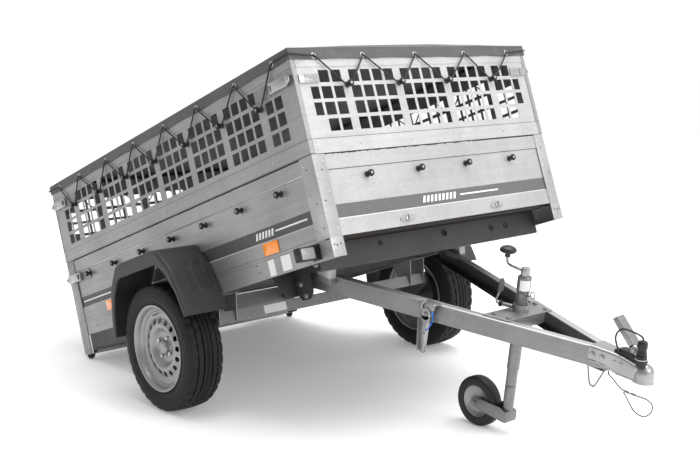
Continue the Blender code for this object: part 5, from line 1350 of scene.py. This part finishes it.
disc_ring = [(0.0075, -0.0252), (0.0150, -0.0252), (0.0165, -0.0235), (0.0170, -0.0150), (0.0220, -0.0128),
             (0.0420, -0.0118), (0.0500, -0.0150), (0.0560, -0.0185),
             (0.0625, -0.0218), (0.0640, -0.0200), (0.0640, 0.0200), (0.0625, 0.0218), (0.0560, 0.0185),
             (0.0500, 0.0150), (0.0420, 0.0118), (0.0220, 0.0128),
             (0.0170, 0.0150), (0.0165, 0.0235), (0.0150, 0.0252), (0.0075, 0.0252)]
bar_piece("jockey_disc", "jockey_roller", zinc_bright, [ring(disc_ring, (JW[0], 0, JW[1]), (0, 1, 0), 56)])
crank_parts = [turned([(0.0168, 0.0908), (0.0172, 0.0925), (0.0172, 0.1195), (0.0160, 0.1222), (0.0120, 0.1232),
                       (0.0, 0.1234)], (JOCKEY_X, 0, 0), UP, 40),
               swept(smooth([(JOCKEY_X - 0.010, 0, 0.1080), (JOCKEY_X - 0.045, 0, 0.1090),
                             (JOCKEY_X - 0.075, 0, 0.1110), (JOCKEY_X - 0.088, 0, 0.1160),
                             (JOCKEY_X - 0.0935, 0, 0.1290), (JOCKEY_X - 0.0945, 0, 0.1440)], 28), 0.0053, 16),
               rod((JOCKEY_X, 0, -0.240), (JOCKEY_X, 0, 0.095), 0.0080, 20)]
bar_piece("crank_rod", "crank", zinc_bright, crank_parts, stands_for="jockey_crank")
bar_piece("crank_knob", "crank", black_plastic, [turned([(0.0100, 0.1390), (0.0108, 0.1405), (0.0102, 0.1460),
    (0.0106, 0.1520), (0.0150, 0.1540), (0.0240, 0.1560),
                                                         (0.0300, 0.1592), (0.0325, 0.1640), (0.0318, 0.1690),
                                                         (0.0285, 0.1738), (0.0225, 0.1778), (0.0140, 0.1810),
                                                         (0.0060, 0.1824), (0.0, 0.1826)],
                                                        (JOCKEY_X - 0.0945, 0, 0), UP, 40)])

# clamp lever
clamp_at = Vector((0.630, -0.0360, -0.0325))
run = (Vector((0.668, -0.0210, 0)) - Vector((0.630, -0.0360, 0))).normalized()
hub_a = clamp_at - run * 0.0006
mid = hub_a - run * 0.0080
grip_low = mid + Vector((-0.006, -0.002, 0.045))
bar_piece("clamp_hub", "clamp", black_plastic, [rod(hub_a, hub_a - run * 0.0120, 0.0090, 28, 0.0015),
                                                turned([(0.0115, 0.0), (0.0130, 0.002), (0.0130, 0.007),
                                                    (0.0105, 0.0095), (0.0, 0.0100)], hub_a - run * 0.003, -run,
                                                    12)], stands_for="clamp_lever")
bar_piece("clamp_rod", "clamp", zinc_bright, [swept(smooth([mid, mid + Vector((-0.012, -0.006, 0.003)),
    mid + Vector((-0.014, -0.006, 0.020)), grip_low + Vector((0, 0, 0.004))], 20), 0.0043, 14)])
bar_piece("clamp_grip", "clamp", grip_plastic, [turned([(0.0060, 0.0), (0.0095, 0.003), (0.0105, 0.008),
    (0.0100, 0.020), (0.0106, 0.036), (0.0090, 0.047), (0.0055, 0.0535), (0.0, 0.055)], grip_low, (0.08, 0.0, 1.0),
    28)])

# coupling head: a pressed inverted channel with a domed cup
HEAD = [(1.045, 0.0467, -0.1060, -0.0490), (1.065, 0.0440, -0.1046, -0.0490), (1.085, 0.0420, -0.1040, -0.0490),
        (1.105, 0.0396, -0.1065, -0.0490),
        (1.125, 0.0378, -0.1100, -0.0490), (1.145, 0.0367, -0.1150, -0.0496), (1.165, 0.0362, -0.1190, -0.0508),
        (1.190, 0.0356, -0.1187, -0.0545),
        (1.210, 0.0350, -0.1183, -0.0582), (1.225, 0.0342, -0.1180, -0.0612), (1.240, 0.0330, -0.1178, -0.0645)]


def hood():
    points, n = [], 0
    for x, half, low, top in HEAD:
        outline = eased([(-half, low), (-half, top), (half, top), (half, low)], {1: 0.011, 2: 0.011}, 6)
        n = len(outline)
        points += [(x, y, z) for y, z in outline]
    faces = [(k * n + i, k * n + i + 1, (k + 1) * n + i + 1,
              (k + 1) * n + i) for k in range(len(HEAD) - 1) for i in range(n - 1)]
    return points, [tuple(reversed(f)) for f in faces]


bar_piece("coupling_hood", "drawbar", zinc_bright, [hood()], thick=0.0032, angle=50)
nose = [turned([(0.0, 0.0372), (0.0080, 0.0364), (0.0150, 0.0340), (0.0215, 0.0302), (0.0270, 0.0250),
                (0.0320, 0.0180), (0.0350, 0.0090), (0.0362, 0.0), (0.0368, -0.0250),
                (0.0385, -0.0262), (0.0385, -0.0292), (0.0340, -0.0292), (0.0318, -0.0250), (0.0315, 0.0),
                (0.0290, 0.0130), (0.0225, 0.0225), (0.0130, 0.0290), (0.0, 0.0315)], CUP, UP, 56)]
for s in (-1, 1):
    nose.append(swept([(x, s * (half + 0.0004), low + 0.0022) for x, half, low, _ in HEAD], 0.0030, 12))
    for x, r, h in ((1.060, 0.0092, 0.0066), (1.098, 0.0092, 0.0066)):
        half = 0.0445 if x < 1.08 else 0.0406
        nose += [washer(0.0125, 0.0016, (x, s * (half - 0.0006), -0.0790), (0, s, 0), 24),
                 hexagon((x, s * (half + 0.0010), -0.0790), (0, s, 0), r, h)]
    for x in (1.149, 1.174):
        nose.append(dome((x, s * 0.0358, -0.0760), (0, s, 0), 0.0072, 0.0036, 20))
for s in (-1, 1):
    nose.append(prism(eased([(1.188, -0.0400), (1.2195, -0.0480), (1.2160, -0.0120), (1.205, -0.0065),
                             (1.194, -0.0120)], 0.004), min(s * 0.0130, s * 0.0162), max(s * 0.0130, s * 0.0162),
                             "Y"))
nose.append(rod((1.2050, -0.0262, -0.0180), (1.2050, 0.0262, -0.0180), 0.0050, 20, 0.0008))
bar_piece("coupling_cup", "drawbar", zinc_bright, nose, bevel=0.0004, stands_for="coupling_head")
base = prism(eased([(1.130, -0.0510), (1.165, -0.0520), (1.222, -0.0625), (1.222, -0.0440), (1.205, -0.0340),
                    (1.150, -0.0320), (1.130, -0.0400)], 0.004), -0.0210, 0.0210, "Y")
bar_piece("coupling_base", "drawbar", black_plastic, [base], bevel=0.0022, segments=3)

H = Vector((1.2050, 0.0, -0.0180))
tilt = R(43.0)
back, over = Vector((-math.cos(tilt), 0, math.sin(tilt))), Vector((math.sin(tilt), 0, math.cos(tilt)))


def on_handle(solid):
    return [tuple(H + back * p[0] + Vector((0, p[1], 0)) + over * p[2]) for p in solid[0]], solid[1]


handle_section = eased([(-0.0215, -0.0100), (-0.0192, -0.0100), (-0.0192, 0.0092), (0.0192, 0.0092),
                        (0.0192, -0.0100), (0.0215, -0.0100), (0.0215, 0.0115), (-0.0215, 0.0115)],
                       {2: 0.002, 3: 0.002, 6: 0.0045, 7: 0.0045}, 4)
handle_parts = [on_handle(prism(handle_section, 0.0120, 0.1270, "X")),
                on_handle(prism([(-0.0100, -0.0060), (0.0180, -0.0100), (0.0180, 0.0092), (-0.0060, 0.0060)],
                                -0.0215, -0.0192, "Y")),
                on_handle(prism([(-0.0100, -0.0060), (0.0180, -0.0100), (0.0180, 0.0092), (-0.0060, 0.0060)],
                                0.0192, 0.0215, "Y")),
                on_handle(prism(eased(oblong(-0.0200, 0.0200, -0.0080, 0.0100), 0.003), 0.1240, 0.1262, "X")),
                on_handle(dome((0.050, 0.0, 0.0115), UP, 0.0050, 0.0022, 16)),
                on_handle(dome((0.092, 0.0, 0.0115), UP, 0.0050, 0.0022, 16))]
for s in (-1, 1):
    handle_parts.append(on_handle(dome((0.0, s * 0.0215, 0.0), (0, s, 0), 0.0078, 0.0036, 20)))
bar_piece("handle_channel", "handle", zinc_bar_dark, handle_parts, bevel=0.0004, stands_for="coupling_handle")

wire_parts = [swept(smooth([(1.018, 0.0, -0.1180), (1.019, 0.0, -0.1300), (1.020, 0.0, -0.1440),
                            (1.034, 0.0, -0.1980), (1.040, 0.0, -0.2100), (1.050, 0.0, -0.2130),
                            (1.060, 0.0, -0.2080), (1.086, 0.0, -0.1500), (1.092, 0.0, -0.1400),
                            (1.094, 0.0, -0.1330)], 48), 0.0032, 14),
              prism(eased(oblong(1.006, 1.104, -0.0300, 0.0300), 0.006), -0.1338, -0.1292, "Z")]
bar_piece("wire_loop", "drawbar", zinc_leg, wire_parts, bevel=0.0005, stands_for="wire_holder")

# ---- floor, lights ----
ground = bpy.data.meshes.new("ground")
ground.from_pydata([(-60, -60, 0), (60, -60, 0), (60, 60, 0), (-60, 60, 0)], [], [(0, 1, 2, 3)])
pale = Graph("pale_floor")
mottled = pale.noise(1.2, 2.0)
ground.materials.append(pale.finish(pale.ramp(mottled, [(0.3, (0.90, 0.90, 0.90)), (0.7, (0.925, 0.925, 0.925))]),
                                    0.85, Emission_Color=(1.0, 1.0, 1.0, 1.0), Emission_Strength=0.20))
floor = bpy.data.objects.new("ground", ground)
bpy.context.scene.collection.objects.link(floor)


def soft_light(name, where, at, size, power):
    lamp = bpy.data.lights.new(name, "AREA")
    lamp.shape, lamp.size, lamp.energy = "SQUARE", size, power
    made = bpy.data.objects.new(name, lamp)
    bpy.context.scene.collection.objects.link(made)
    made.location = where
    made.rotation_mode = "QUATERNION"
    made.rotation_quaternion = (Vector(at) - Vector(where)).to_track_quat("-Z", "Y")


soft_light("overhead", (1.0, 0.8, 6.0), (-0.1, 0.1, 0.0), 5.0, 340.0)
soft_light("key", (6.0, 1.2, 3.4), (0.4, 0.0, 0.7), 3.0, 120.0)
world = bpy.data.worlds.new("studio")
bpy.context.scene.world = world
world.use_nodes = True
tree = world.node_tree
sky, facing = tree.nodes.new("ShaderNodeTexCoord"), tree.nodes.new("ShaderNodeVectorMath")
facing.operation = "DOT_PRODUCT"
facing.inputs[1].default_value = (0.0, 1.0, 0.35)
tree.links.new(sky.outputs["Generated"], facing.inputs[0])
shade = tree.nodes.new("ShaderNodeMapRange")
tree.links.new(facing.outputs["Value"], shade.inputs["Value"])
for key, v in (("From Min", -0.70), ("From Max", 0.35), ("To Min", 0.42), ("To Max", 1.02)):
    shade.inputs[key].default_value = v
tree.links.new(shade.outputs["Result"], tree.nodes["Background"].inputs["Strength"])
tree.nodes["Background"].inputs["Color"].default_value = (1.0, 1.0, 1.0, 1.0)
bpy.context.scene.view_settings.view_transform = "Standard"
